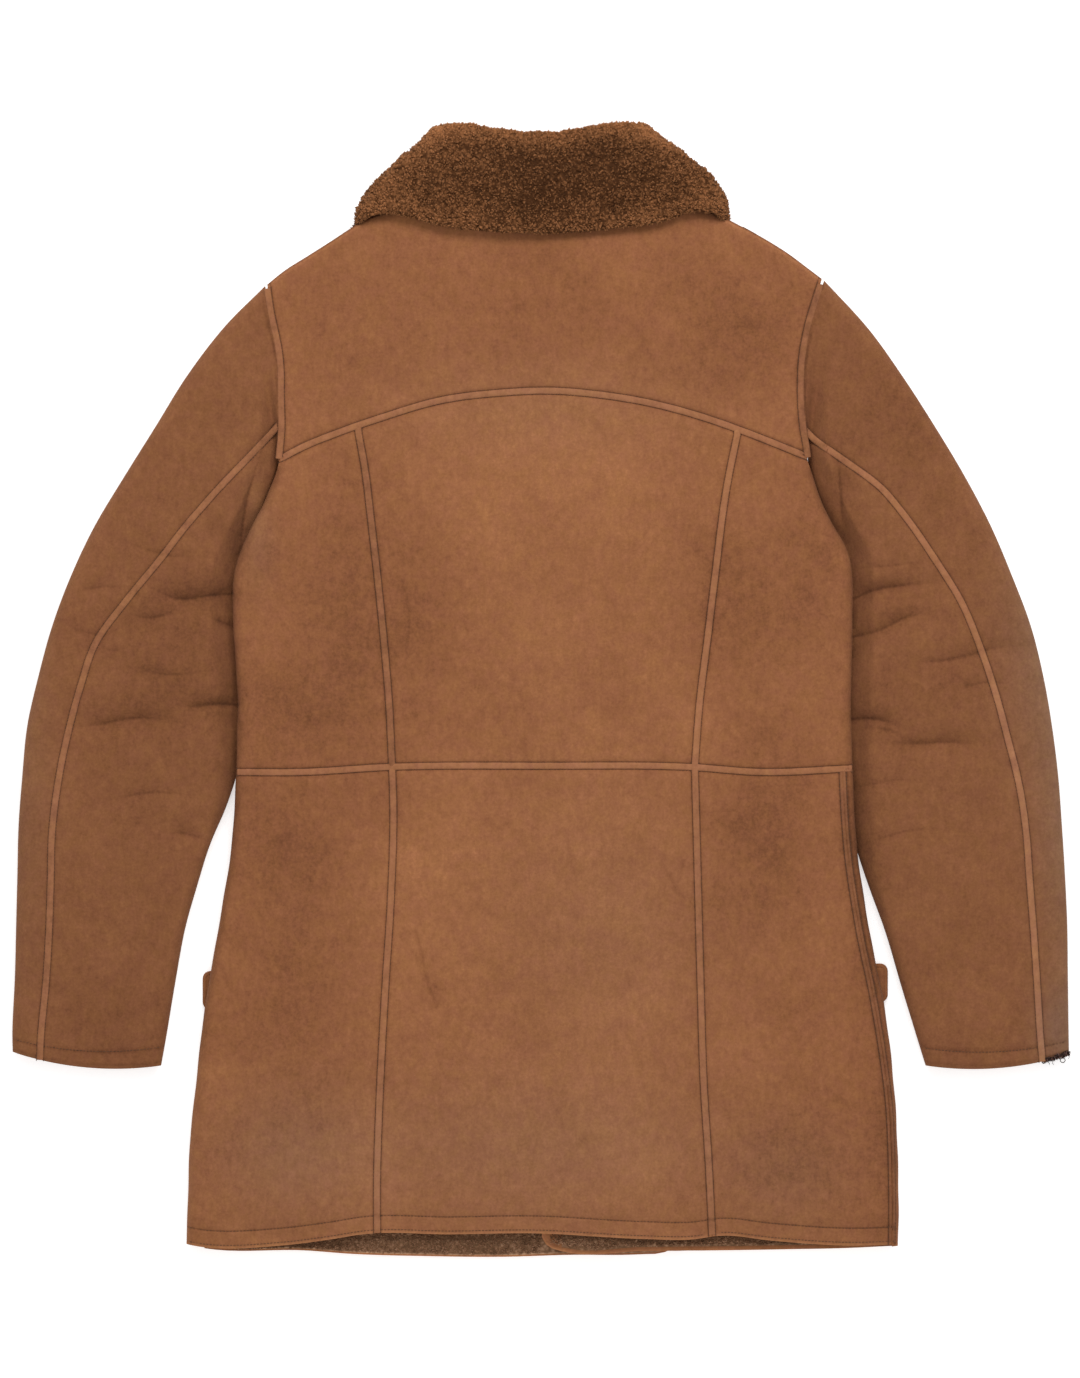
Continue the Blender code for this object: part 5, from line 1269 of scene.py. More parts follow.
def collar_ring(kind, where):
    fall_table, stand_table = finer(FALL, 46), finer(STAND, 16)
    fall = collar_row(kind, where, fall_table[:, 0], fall_table[:, 1], False)
    fall_inner = collar_row(kind, where, fall_table[:, 2], np.full(46, 0.7), False)
    stand = collar_row(kind, where, stand_table[:, 0], stand_table[:, 1], True)
    stand_inner = collar_row(kind, where, stand_table[:, 2], np.full(16, -0.7), True)
    offsets = np.linspace(7.5, -5.5, 9)
    share = ease(np.linspace(0.05, 0.95, 9))[:, None]
    roll = collar_row(kind, where, np.zeros(9), offsets, False) * (1 - share) \
        + collar_row(kind, where, np.zeros(9), offsets, True) * share
    tip_share = np.linspace(0.1, 0.9, 9)[:, None]
    tip = fall_inner[-1] * (1 - tip_share) + stand_inner[0] * tip_share
    tip = tip + (roll[4] - tip[4]) * 0.15
    return np.vstack([fall, roll, stand]), np.vstack([fall_inner, tip, stand_inner])


def collar_grids():
    rings = [collar_ring("leaf", (-1, share)) for share in np.linspace(0.9, 0.06, 34)]
    rings += [collar_ring("fold", (-1, angle)) for angle in np.radians(np.linspace(-90, 78, 15))]
    rings += [collar_ring("back", share) for share in np.linspace(0, 1, 110)]
    rings += [collar_ring("fold", (1, angle)) for angle in np.radians(np.linspace(78, -90, 15))]
    rings += [collar_ring("leaf", (1, share)) for share in np.linspace(0.06, 0.9, 34)]
    return np.array([r[0] for r in rings]), np.array([r[1] for r in rings])


def normals_of(grid):
    """Unit normals of a grid of points."""
    across, along = np.gradient(grid, axis=1), np.gradient(grid, axis=0)
    normal = np.cross(across, along)
    return normal / np.maximum(np.linalg.norm(normal, axis=2, keepdims=True), 1e-9)


def tuft_mesh(name, roots, directions, lengths, widths, shades, seed, material):
    """Short curved three-sided locks of fleece, all in one mesh. Shade goes from root to tip: painted shade
    at the roots, paler tips.
    """
    rng = np.random.default_rng(seed)
    count = len(roots)
    other = rng.normal(size=(count, 3))
    side = unit(np.cross(directions, other))
    third = np.cross(directions, side)
    bend = side * rng.uniform(-0.55, 0.55, (count, 1)) + third * rng.uniform(-0.55, 0.55, (count, 1))
    levels = [(0.0, 0.8, -0.55), (0.6, 1.0, 0.05)]
    verts, tones = [], []
    for share, thick, shade in levels:
        centre = roots + directions * (lengths * share)[:, None] + bend * (lengths * share ** 2)[:, None]
        for corner in range(3):
            angle = math.tau * corner / 3
            out = side * math.cos(angle) + third * math.sin(angle)
            verts.append(centre + out * (widths * thick)[:, None])
            tones.append(shades + shade)
    verts.append(roots + directions * lengths[:, None] + bend * lengths[:, None] * 1.15)
    tones.append(shades + 0.4)
    verts = np.stack(verts, axis=1)
    tones = np.stack(tones, axis=1)
    verts[:, :, 2] = np.maximum(verts[:, :, 2], 0.05)
    base = (np.arange(count) * 7)[:, None]
    faces = []
    for corner in range(3):
        a, b = corner, (corner + 1) % 3
        faces.append(np.concatenate([base + a, base + b, base + b + 3, base + a + 3], axis=1))
    quads = np.concatenate(faces).tolist()
    tips = np.concatenate([np.concatenate([base + 3 + c, base + 3 + (c + 1) % 3, base + 6], axis=1)
                           for c in range(3)]).tolist()
    mesh = bpy.data.meshes.new(name)
    mesh.from_pydata((verts.reshape(-1, 3) * MM).tolist(), [], quads + tips)
    mesh.materials.append(material)
    mesh.shade_smooth()
    obj = shown(name, mesh)
    add_tone(obj, tones.reshape(-1))
    return obj


def rim_shade(x, y):
    """Painted light makes the fleece paler along the collar's rim, where light comes through it, and it is
    darker in its middle.
    """
    roll = smooth(COLLAR_ROLL, x) - y
    edge = y - smooth(COLLAR_EDGE, x)
    left = x - (-146 + (y - 373) * 0.78)
    right = (150 - (y - 377) * 0.83) - x
    shade = 0.95 * bell(np.maximum(roll, 0), 12.0) + 0.45 * bell(np.maximum(edge, 0), 14.0)
    shade = shade + 0.35 * bell(np.maximum(left, 0), 22.0) + 0.35 * bell(np.maximum(right, 0), 16.0)
    shade = shade + 0.25 * bell(x + 95, 60) + 0.15 * bell(x - 100, 40)
    return shade - 0.25 * np.exp(-((x - 20) / 80) ** 2 - ((y - 410) / 30) ** 2)


def fleece_collar():
    outer, inner = collar_grids()
    normal = normals_of(outer)
    middle = 0.5 * (outer + inner)
    flip = np.sign(np.einsum("ijk,ijk->ij", normal, outer - middle))[..., None]
    normal = normal * np.where(flip == 0, 1, flip)
    rng = np.random.default_rng(5)
    lumps = rng.uniform(-0.9, 0.5, outer.shape[:2])
    wave = 0.8 * waves(outer[..., 0], outer[..., 1], 26, 51)
    fade = np.ones(outer.shape[1])
    fade[[0, 1, -1]] = 0.3
    grown = outer + normal * ((lumps + wave) * fade)[..., None]
    grown[..., 2] = np.maximum(grown[..., 2], 0.0)
    shade = rim_shade(outer[..., 0], outer[..., 1])
    base = wall("collar_hide", grown, inner, [LOOKS["collar"], LOOKS["suede"]], tone=shade - 0.15)

    corner = grown[:-1, :-1]
    area = np.linalg.norm(np.cross(grown[1:, :-1] - corner, grown[:-1, 1:] - corner), axis=2)
    weight = area * np.where(corner[..., 2] < 6.0, 0.35, 1.0)
    count = COLLAR_CURLS
    pick = rng.choice(area.size, count, p=(weight / weight.sum()).reshape(-1))
    i, j = np.unravel_index(pick, area.shape)
    s, t = rng.uniform(size=(2, count, 1))
    roots = (1 - s) * (1 - t) * grown[i, j] + s * (1 - t) * grown[i + 1, j] + (1 - s) * t * grown[i, j + 1] \
        + s * t * grown[i + 1, j + 1]
    out = normal[i, j]
    clump = np.stack([waves(roots[:, 0], roots[:, 1], 7, 60 + axis) for axis in range(3)], axis=1)
    lean = out + 0.75 * clump + rng.normal(scale=0.30, size=(count, 3))
    lean = unit(lean)
    shades = rim_shade(roots[:, 0], roots[:, 1]) + rng.normal(scale=0.13, size=count)
    shades = shades + 0.22 * waves(roots[:, 0], roots[:, 1], 5.0, 91)
    keep = ~((roots[:, 2] < 2.5) & (out[:, 2] < -0.3))
    curls = tuft_mesh("collar_curls", (roots - out * 0.8)[keep], lean[keep],
                      rng.uniform(1.9, 3.1, count)[keep], rng.uniform(0.75, 1.2, count)[keep],
                      shades[keep], 7, LOOKS["tufts"])
    return base, curls


def collar_end_curls(collar):
    """Curls that close the collar's ends down to the shoulders."""
    rng = np.random.default_rng(17)
    height = ray_height([collar])
    roots, lean = [], []
    for side in (-1, 1):
        for _ in range(END_CURLS):
            along, across = rng.uniform(0, 1), rng.uniform(0, 1)
            x = CENTRE + side * (153.5 - 13.0 * along)
            y = 368.0 + 11.5 * along - (2.5 - 1.8 * along) * across * 1.6
            low = height(x, y)
            z = max(13.0, 0.0 if low is None else low - 1.0) + rng.uniform(-3, 1.5)
            roots.append((x, y, z))
            lean.append((side * rng.normal(0.2, 0.4), rng.normal(-0.5, 0.4), rng.normal(0.7, 0.4)))
    roots, lean = np.array(roots), np.array(lean)
    lean = unit(lean)
    count = len(roots)
    return tuft_mesh("collar_end_curls", roots, lean, rng.uniform(1.7, 3.0, count),
                     rng.uniform(0.6, 0.95, count), rng.normal(0.25, 0.3, count), 19, LOOKS["tufts"])


def ray_height(objects):
    """height(x, y) in millimetres of the uppermost of these pieces, or None beside them."""
    trees = []
    for obj in objects:
        mesh = obj.data
        coords = np.empty(len(mesh.vertices) * 3)
        mesh.vertices.foreach_get("co", coords)
        trees.append(BVHTree.FromPolygons((coords.reshape(-1, 3) / MM).tolist(),
                                          [tuple(p.vertices) for p in mesh.polygons]))

    def height(x, y):
        hits = [tree.ray_cast((x, y, 100.0), (0.0, 0.0, -1.0))[0] for tree in trees]
        hits = [spot.z for spot in hits if spot is not None]
        return max(hits) if hits else None
    return height


def resample(path, step):
    path = np.asarray(path, float)
    along = np.concatenate([[0], np.cumsum(np.hypot(*np.diff(path, axis=0).T))])
    places = np.linspace(0, along[-1], max(2, round(along[-1] / step) + 1))
    return np.column_stack([np.interp(places, along, path[:, 0]), np.interp(places, along, path[:, 1])])


def headings(path):
    """Unit steps along a plan path."""
    steps = np.gradient(path, axis=0)
    return steps / np.hypot(*steps.T)[:, None]


def across_of(path):
    steps = headings(path)
    return np.column_stack([-steps[:, 1], steps[:, 0]])


def filled(values):
    """Gaps in a row of heights filled from their neighbours, and the row smoothed a little."""
    values = np.array([np.nan if v is None else v for v in values], float)
    good = ~np.isnan(values)
    values = np.interp(np.arange(len(values)), np.arange(len(values))[good], values[good])
    padded = np.concatenate([[values[0]] * 2, values, [values[-1]] * 2])
    return np.convolve(padded, [0.12, 0.23, 0.30, 0.23, 0.12], mode="valid")


STRAP_PROFILE = [(-2.75, -0.9), (-2.62, -0.25), (-2.2, 0.18), (-1.3, 0.42), (0, 0.50), (1.3, 0.42),
                 (2.2, 0.18), (2.62, -0.25), (2.75, -0.9)]


def strap(name, path, height, shade, level=0):
    """A crowned band of suede over a seam. It follows the face on both sides and lies on what is under it.
    Where level isn't 0, it is as high all across as on that side."""
    path = resample(path, STRAP_STEP)
    across = across_of(path)
    sides = []
    for offset in (-STRAP_REACH, STRAP_REACH):
        spots = path + across * offset
        sides.append(filled([height(*spot) for spot in spots]))
    if level:
        sides = [sides[level > 0]] * 2
    along = np.arange(len(path)) * STRAP_STEP
    rings = []
    for offset, rise in STRAP_PROFILE:
        share = (offset + STRAP_REACH) / (2 * STRAP_REACH)
        z = sides[0] * (1 - share) + sides[1] * share + rise
        z = z + 0.07 * np.sin(along * 1.1 + offset) * (abs(offset) < 2.5)
        spot = path + across * (offset * (1 + 0.02 * np.sin(along * 0.31)))[:, None]
        if abs(offset) < 2.5:
            under = [height(*place) for place in spot]
            z = np.maximum(z, np.array([-1.0 if low is None else low for low in under]) + 0.25)
        rings.append(points(spot[:, 0], spot[:, 1], z))
    outer = np.stack(rings, axis=1)
    inner = outer.copy()
    inner[..., 2] = np.minimum(inner[..., 2] - 0.35, outer[:, :1, 2])
    edge = np.abs(np.array([offset for offset, _ in STRAP_PROFILE]))[None, :] > 2.5
    x, y = outer[..., 0], outer[..., 1]
    crossed = y - smooth(BACK_HEM, x) - HEM_STITCH
    # Painted shade on the strap's edges where they drop to the face; it is darker across the hem's line of
    # stitches.
    tone = shade + 0.25 * waves(x, y, 18, 71) - 1.6 * edge + 0.4 * tone_at(x, y) \
        - 1.6 * bell(crossed, 1.2)
    return wall(name, outer, inner, [LOOKS["suede_strap"], LOOKS["suede_strap"]],
                tone=tone + np.zeros(outer.shape[:2]), extra_grey=0.28)


def stitches(name, runs, height):
    """Rows of sewing: runs are plan paths, or paths with their own heights."""
    verts, faces = [], []
    for run in runs:
        run = np.asarray(run, float)
        path = resample(run[:, :2], STITCH_PITCH)
        steps = headings(path)
        if run.shape[1] == 3:
            z = np.full(len(path), run[0, 2])
        else:
            z = filled([height(*spot) for spot in path])
        for i in range(len(path)):
            slope = (z[min(i + 1, len(z) - 1)] - z[max(i - 1, 0)]) / (2 * STITCH_PITCH)
            d = np.array([steps[i, 0], steps[i, 1], slope])
            n = np.array([-steps[i, 1], steps[i, 0], 0.0])
            centre = np.array([path[i, 0], path[i, 1], z[i] + THREAD * 0.35])
            start = len(verts)
            down = np.array([0, 0, -THREAD])
            for share in (-0.26, 0.26):
                for a, b in ((1, 0), (0, 1), (-1, 0), (0, -1)):
                    verts.append(centre + d * STITCH_PITCH * share + n * a * THREAD
                                 + np.array([0, 0, b * THREAD]))
            verts += [centre - d * STITCH_PITCH * 0.42 + down, centre + d * STITCH_PITCH * 0.42 + down]
            for corner in range(4):
                a, b = start + corner, start + (corner + 1) % 4
                faces += [(a, b, b + 4, a + 4), (b, a, start + 8, start + 8),
                          (a + 4, b + 4, start + 9, start + 9)]
    verts = np.array(verts)
    verts[:, 2] = np.maximum(verts[:, 2], 0.02)
    faces = [face[:3] if face[2] == face[3] else face for face in faces]
    return mesh_object(name, verts * MM, faces, [LOOKS["thread"]])


def offset_path(path, offset):
    path = resample(path, 2.0)
    return path + across_of(path) * offset


def plate(name, centre, size, corner, material):
    """A sewn flap: a soft plate with rounded corners, a rolled edge and a groove for its stitches."""
    half_x, half_y, high = size[0] / 2, size[1] / 2, size[2]
    rings = [(0.0, 0.5), (0.15, 0.25), (0.6, 0.07), (1.4, 0.0), (2.6, 0.03), (3.2, 0.12), (3.8, 0.03),
             (6.0, 0.0), (10.0, 0.01)]
    layers = [(inset, lift) for inset, lift in rings] + [(inset, 1 - lift) for inset, lift in rings[::-1]]
    grid = []
    for inset, lift in layers:
        radius = max(corner - inset, 0.8)
        spots = []
        for quarter, (sx, sy) in enumerate(((1, 1), (-1, 1), (-1, -1), (1, -1))):
            for step in range(6):
                angle = math.pi / 2 * (quarter + step / 5)
                spots.append((centre[0] + sx * (half_x - inset - radius) + radius * math.cos(angle),
                              centre[1] + sy * (half_y - inset - radius) + radius * math.sin(angle),
                              lift * high))
            nx, ny = ((-1, 1), (-1, -1), (1, -1), (1, 1))[quarter]
            end = (centre[0] + nx * (half_x - inset - radius), centre[1] + ny * (half_y - inset - radius))
            start = spots[-1]
            a2 = math.pi / 2 * (quarter + 1)
            end = (end[0] + radius * math.cos(a2), end[1] + radius * math.sin(a2))
            count = 24 if quarter in (0, 2) else 5
            for i in range(1, count):
                t = i / count
                spots.append((start[0] + (end[0] - start[0]) * t, start[1] + (end[1] - start[1]) * t,
                              lift * high))
        grid.append(spots)
    count = len(grid[0])
    # The lower face from its centre to the edge, then the upper face from the edge back to the centre.
    order = list(range(len(rings) - 1, -1, -1)) + list(range(2 * len(rings) - 1, len(rings), -1))
    verts = [spot for index in order for spot in grid[index]]
    faces = []
    for ring in range(len(order) - 1):
        for i in range(count):
            j = (i + 1) % count
            faces.append((ring * count + i, ring * count + j, (ring + 1) * count + j, (ring + 1) * count + i))
    faces.append(tuple(range(count - 1, -1, -1)))
    faces.append(tuple((len(order) - 1) * count + i for i in range(count)))
    verts = np.array(verts)
    obj = polygons(name, verts, faces, material)
    add_tone(obj, 0.2 * waves(verts[:, 0], verts[:, 1], 20, 81))
    return obj


def polygons(name, verts, faces, material):
    """A mesh from vertices in millimetres and faces of any size, with its normals made consistent."""
    bm = bmesh.new()
    made = [bm.verts.new(v * MM) for v in np.asarray(verts, float)]
    for face in faces:
        bm.faces.new([made[i] for i in face])
    bmesh.ops.recalc_face_normals(bm, faces=bm.faces[:])
    mesh = bpy.data.meshes.new(name)
    bm.to_mesh(mesh)
    bm.free()
    mesh.materials.append(material)
    return shown(name, mesh, SHARP)


def tube(points_list, radius, sides=6):
    """Vertices and faces of a round thread along points."""
    spots = np.asarray(points_list, float)
    ahead = unit(np.gradient(spots, axis=0))
    up = np.array([0.31, 0.17, 0.93])
    side = unit(np.cross(ahead, up))
    third = np.cross(ahead, side)
    angles = np.arange(sides) * math.tau / sides
    around = side[:, None] * np.cos(angles)[:, None] + third[:, None] * np.sin(angles)[:, None]
    verts = spots[:, None] + radius * around
    faces = []
    for i in range(len(spots) - 1):
        for j in range(sides):
            k = (j + 1) % sides
            faces.append((i * sides + j, i * sides + k, (i + 1) * sides + k, (i + 1) * sides + j))
    faces.append(tuple(range(sides - 1, -1, -1)))
    faces.append(tuple((len(spots) - 1) * sides + j for j in range(sides)))
    return verts.reshape(-1, 3), faces


def joined(name, parts, material):
    verts, faces, start = [], [], 0
    for part_verts, part_faces in parts:
        verts.append(part_verts)
        faces += [tuple(i + start for i in face) for face in part_faces]
        start += len(part_verts)
    return polygons(name, np.concatenate(verts), faces, material)


BUTTON_PROFILE = [(0.0, 1.1), (4.5, 1.1), (7.5, 1.0), (8.8, 0.45), (10.2, 0.06), (11.8, 0.0), (13.0, 0.35),
                  (13.8, 1.3), (14.0, 2.4), (13.7, 3.7), (12.6, 4.7), (9.0, 5.0), (0.0, 5.0)]


def button(name, x, y):
    """A turned button with a rim, four holes and the thread through them. Its face is downwards."""
    bm = bmesh.new()
    count = 48
    rings = []
    for radius, z in BUTTON_PROFILE:
        if radius == 0:
            rings.append([bm.verts.new(np.array([x, y, z]) * MM)])
        else:
            rings.append([bm.verts.new(np.array([x + radius * math.cos(math.tau * i / count),
                                                 y + radius * math.sin(math.tau * i / count), z]) * MM)
                          for i in range(count)])
    for a, b in zip(rings[:-1], rings[1:]):
        for i in range(count):
            j = (i + 1) % count
            corners = [a[0] if len(a) == 1 else a[i], b[0] if len(b) == 1 else b[i],
                       b[0] if len(b) == 1 else b[j], a[0] if len(a) == 1 else a[j]]
            unique = []
            for corner in corners:
                if corner not in unique:
                    unique.append(corner)
            bm.faces.new(unique)
    bmesh.ops.recalc_face_normals(bm, faces=bm.faces[:])
    mesh = bpy.data.meshes.new(name)
    bm.to_mesh(mesh)
    bm.free()
    mesh.materials.append(LOOKS["horn"])
    disc = shown(name, mesh, 40)
    parts = []
    for sign in (-1, 1):
        bar = [(x - HOLE + 2 * HOLE * t, y - sign * HOLE + sign * 2 * HOLE * t,
                0.95 - 0.5 * math.sin(math.pi * t))
               for t in np.linspace(0, 1, 9)]
        parts.append(tube(bar, 0.42))
    for sx, sy in ((1, 1), (1, -1), (-1, 1), (-1, -1)):
        ring = [(x + sx * HOLE + 1.25 * math.cos(a), y + sy * HOLE + 1.25 * math.sin(a), 1.02)
                for a in np.linspace(0, math.tau, 15)]
        parts.append(tube(ring, 0.22))
    return disc, joined(f"{name}_thread", parts, LOOKS["thread"])


# ---- assembly ------------------------------------------------------------------------------------

BODY = list(frame["bodies"])[0]


def place(piece, slot, replaced=()):
    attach(piece, BODY)
    if replaced:
        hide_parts(*replaced)
    return piece


pieces = body()
pieces.update(sleeves())
for node, piece in pieces.items():
    if node.startswith("sleeve_"):
        refine(piece, FOLDS)
    elif node.startswith(("back_centre", "back_side_upper")):
        refine(piece, SCRATCHES)
    place(piece, "suede", [node])
collar, curls = fleece_collar()
place(collar, "fleece", ["collar"])
place(curls, "fleece")
end_curls = place(collar_end_curls(collar), "fleece")

tops = [piece for node, piece in pieces.items() if node.startswith(("back_", "sleeve_"))]
tops.append(pieces["front_skirt_right"])
height = ray_height(tops)

RUNS = {"strap_yoke": SEAMS["yoke"], "strap_waist": SEAMS["waist"], "strap_upper_left": SEAMS["upper_left"],
        "strap_upper_right": SEAMS["upper_right"],
        "strap_skirt_left": sampled(LEFT_SKIRT_SEAM, False, -434.4, -63.0),
        "strap_skirt_right": sampled(RIGHT_SKIRT_SEAM, False, -435.8, -63.0),
        "strap_side_right": SEAMS["side_right"],
        "strap_armhole_left": sampled(LEFT_ARMHOLE, False, 184.5, 320.5),
        "strap_armhole_right": sampled(RIGHT_ARMHOLE, False, 185.5, 324.0),
        "strap_sleeve_left": sleeve_seam("left"), "strap_sleeve_right": sleeve_seam("right")}
STRAP_SHADES = {"strap_yoke": -0.65, "strap_waist": -0.5, "strap_upper_left": -1.5, "strap_upper_right": -0.3,
                "strap_skirt_left": -0.8, "strap_skirt_right": -0.9, "strap_side_right": -2.1,
                "strap_armhole_left": -1.15, "strap_armhole_right": -1.7, "strap_sleeve_left": -1.2,
                "strap_sleeve_right": -0.3}
straps = {}
for node, path in RUNS.items():
    shade = STRAP_SHADES[node]
    level = {"strap_armhole_left": -1, "strap_armhole_right": 1}.get(node, 0)
    below = height
    if node.startswith("strap_sleeve"):
        below = ray_height([piece for name, piece in pieces.items() if name.startswith(node[6:])])
    straps[node] = place(strap(node + "_band", path, below, shade, level), "seam_strap", [node])

visible_runs = [offset_path(path, side * GROOVE) for node, path in RUNS.items() for side in (-1, 1)
                if (node, side) not in (("strap_armhole_left", 1), ("strap_armhole_right", -1))]
columns = np.linspace(-279, 283, 170)
visible_runs.append(np.column_stack([columns, smooth(BACK_HEM, columns) + HEM_STITCH]))
visible_runs.append(np.column_stack([columns, smooth(BACK_HEM, columns) + 2.9]))
for name, (table, armhole) in SLEEVES.items():
    k = np.interp(CUFF_STITCH, cuff_distance(table, np.linspace(16, 14, 60)), np.linspace(16, 14, 60))
    u = np.linspace(0.04, 0.96, 50)
    x, y, _, _ = sleeve_plan(table, armhole, np.full(50, k), u)
    visible_runs.append(np.column_stack([x, y]))
seam_stitches = place(stitches("seam_stitches", visible_runs, height), "seam_strap")

# The fronts, underneath: double rows beside their seams, and rows along the free edge, hem and flaps.
low_runs = []
for offset in (-GROOVE, GROOVE):
    low_runs.append(offset_path(sampled(WAIST, True, -226, 107), offset))
    low_runs.append(offset_path(sampled(WAIST, True, 119, 244), offset))
columns = np.linspace(-266, 106, 110)
low_runs.append(np.column_stack([columns, smooth(LEFT_FRONT_HEM, columns) + HEM_STITCH]))
columns = np.linspace(120, 283, 50)
low_runs.append(np.column_stack([columns, smooth(RIGHT_FRONT_HEM, columns) + HEM_STITCH]))
rise = np.linspace(-438, 318, 200)
for inset in (4.0, 12.0):
    low_runs.append(np.column_stack([np.full(200, OVERLAP_EDGE - inset), rise]))
low_runs = [np.column_stack([run, np.full(len(run), 0.08)]) for run in low_runs]
for side, (cx, cy) in FLAPS.items():
    half_x, half_y = FLAP_SIZE[0] / 2 - 3.2, FLAP_SIZE[1] / 2 - 3.2
    corners = [(cx - half_x, cy + half_y), (cx - half_x, cy - half_y), (cx + half_x, cy - half_y),
               (cx + half_x, cy + half_y)]
    low_runs.append(np.column_stack([np.array(corners), np.full(4, 0.45)]))
low_stitches = place(stitches("underside_stitches", low_runs, None), "seam_strap")

for side, centre in FLAPS.items():
    flap = plate(f"flap_{side}", centre, FLAP_SIZE, 6.0, LOOKS["suede_underside"])
    place(flap, "suede", [f"pocket_flap_{side}"])
    pieces[f"pocket_flap_{side}"] = flap
for number, y in enumerate(BUTTON_YS, start=1):
    disc, thread = button(f"button_disc_{number}", BUTTON_X, y)
    place(disc, "horn_button", [f"button_{number}"])
    place(thread, "seam_strap")

# Fleece of the fronts' inside, where it shows below the back's hem.
rng = np.random.default_rng(12)
front_height = ray_height([pieces["front_skirt_left"], pieces["front_skirt_right"]])
roots, lean = [], []
for _ in range(HEM_CURLS):
    x = rng.uniform(-268, 205)
    edge = float(smooth(LEFT_FRONT_HEM, x)) if x < 3 else float(smooth(RIGHT_FRONT_HEM, x))
    y = rng.uniform(edge + 2.6, float(smooth(BACK_HEM, x)) + 5)
    if y < edge + (5.0 if x > 3 else 2.2) or 0.5 < x < 9:
        continue
    z = front_height(x, y)
    if z is not None:
        roots.append((x, y, z - 0.3))
        lean.append((rng.normal(0, 0.45), rng.normal(-0.25, 0.45), 1.0))
roots, lean = np.array(roots), np.array(lean)
lean = unit(lean)
shades = np.where(roots[:, 0] > 3, 0.45, -0.1) + rng.normal(scale=0.2, size=len(roots))
# Painted shadow on the fleece just below the back's hem, and painted shade in a dark notch at about x = 11
# mm.
shades = shades - 2.6 * bell(smooth(BACK_HEM, roots[:, 0]) - roots[:, 1], 3.2)
shades = shades - 4.0 * ((np.abs(roots[:, 0] - 11.2) < 2.6) & (roots[:, 1] > -439.0))
hem_curls = place(tuft_mesh("hem_curls", roots, lean, rng.uniform(1.2, 2.4, len(roots)),
                            rng.uniform(0.35, 0.65, len(roots)), shades, 13, LOOKS["hem_tufts"]), "fleece")

# The torn corner of the right cuff: frayed fibres along its edge, a knot, a loop and loose ends of thread.
rng = np.random.default_rng(31)
cuff_height = ray_height([pieces["sleeve_right_top"], pieces["sleeve_right_under"]])
roots, lean = [], []
for _ in range(FRAYED_FIBRES):
    x = rng.uniform(403, 424)
    y = torn_edge(x) + rng.uniform(-0.4, 4.4) * (0.6 + 0.02 * (x - 403) + 0.2 * math.sin(x * 0.9))
    z = cuff_height(x, y)
    if z is not None:
        roots.append((x, y, z - 0.3))
        lean.append((rng.normal(0.1, 0.6), rng.normal(-0.7, 0.4), 0.6))
roots, lean = np.array(roots), np.array(lean)
lean = unit(lean)
frayed = place(tuft_mesh("frayed_cuff", roots, lean, rng.uniform(1.0, 2.6, len(roots)),
                         rng.uniform(0.18, 0.42, len(roots)), rng.normal(0.2, 0.9, len(roots)), 33,
                         LOOKS["frayed"]), "fleece")
loop = [(419.0 + 1.9 * math.cos(a), -297.0 + 1.8 * math.sin(a), 6.0 + 1.2 * math.sin(2 * a))
        for a in np.linspace(1.2, 1.2 + math.tau * 1.1, 30)]
knot = [(403.6 + 0.9 * math.cos(a), -298.6 + 0.8 * math.sin(a), 6.0 + 0.6 * math.cos(1.7 * a))
        for a in np.linspace(0, 3 * math.tau, 40)]
ends = [[(411.0, -294.5, 9.0), (411.6, -297.0, 7.5), (410.6, -299.0, 6.5), (411.8, -300.4, 5.5)],
        [(423.0, -292.6, 8.0), (424.2, -294.2, 7.0), (423.6, -296.0, 6.0)],
        [(406.0, -296.0, 8.0), (406.8, -298.4, 7.0), (408.4, -299.2, 6.0), (408.2, -300.6, 5.0)]]
loose = [tube(loop, 0.36), tube(knot, 0.45)] + [tube(end, 0.24) for end in ends]
loose_threads = place(joined("loose_threads", loose, LOOKS["loose_thread"]), "seam_strap")

# ---- the panels' cuts and what lies on them ------------------------------------------------------

# Each panel's flat cut in metres, its area in square metres, and what it lies on. ON_PANELS lists the
# sewing, the bands and the curls on each panel.
CUTS = {"front_upper_left": (0.375, 0.462, 0.1344, ["floor"]),
        "front_skirt_left": (0.378, 0.392, 0.1396, ["floor"]),
        "front_upper_right": (0.264, 0.449, 0.0940, ["front_upper_left"]),
        "front_skirt_right": (0.308, 0.390, 0.1120, ["front_skirt_left"]),
        "back_centre_upper": (0.312, 0.299, 0.0786, ["front_upper_left", "front_upper_right"]),
        "back_side_upper_left": (0.151, 0.274, 0.0353, ["front_upper_left"]),
        "back_side_upper_right": (0.153, 0.272, 0.0338, ["front_upper_right"]),
        "back_yoke": (0.495, 0.173, 0.0673, ["front_upper_left", "front_upper_right"]),
        "back_centre_skirt": (0.270, 0.380, 0.0961, ["front_skirt_left", "front_skirt_right"]),
        "back_side_skirt_left": (0.179, 0.384, 0.0637, ["front_skirt_left"]),
        "back_side_skirt_right": (0.148, 0.385, 0.0511, ["front_skirt_right"]),
        "sleeve_left_under": (0.175, 0.571, 0.0674, ["floor"]),
        "sleeve_left_top": (0.235, 0.664, 0.1061, ["sleeve_left_under", "floor"]),
        "sleeve_right_under": (0.175, 0.570, 0.0682, ["floor"]),
        "sleeve_right_top": (0.247, 0.667, 0.1086, ["sleeve_right_under", "floor"]),
        "pocket_flap_left": (0.150, 0.031, 0.00465, ["floor"]),
        "pocket_flap_right": (0.150, 0.031, 0.00465, ["floor"])}
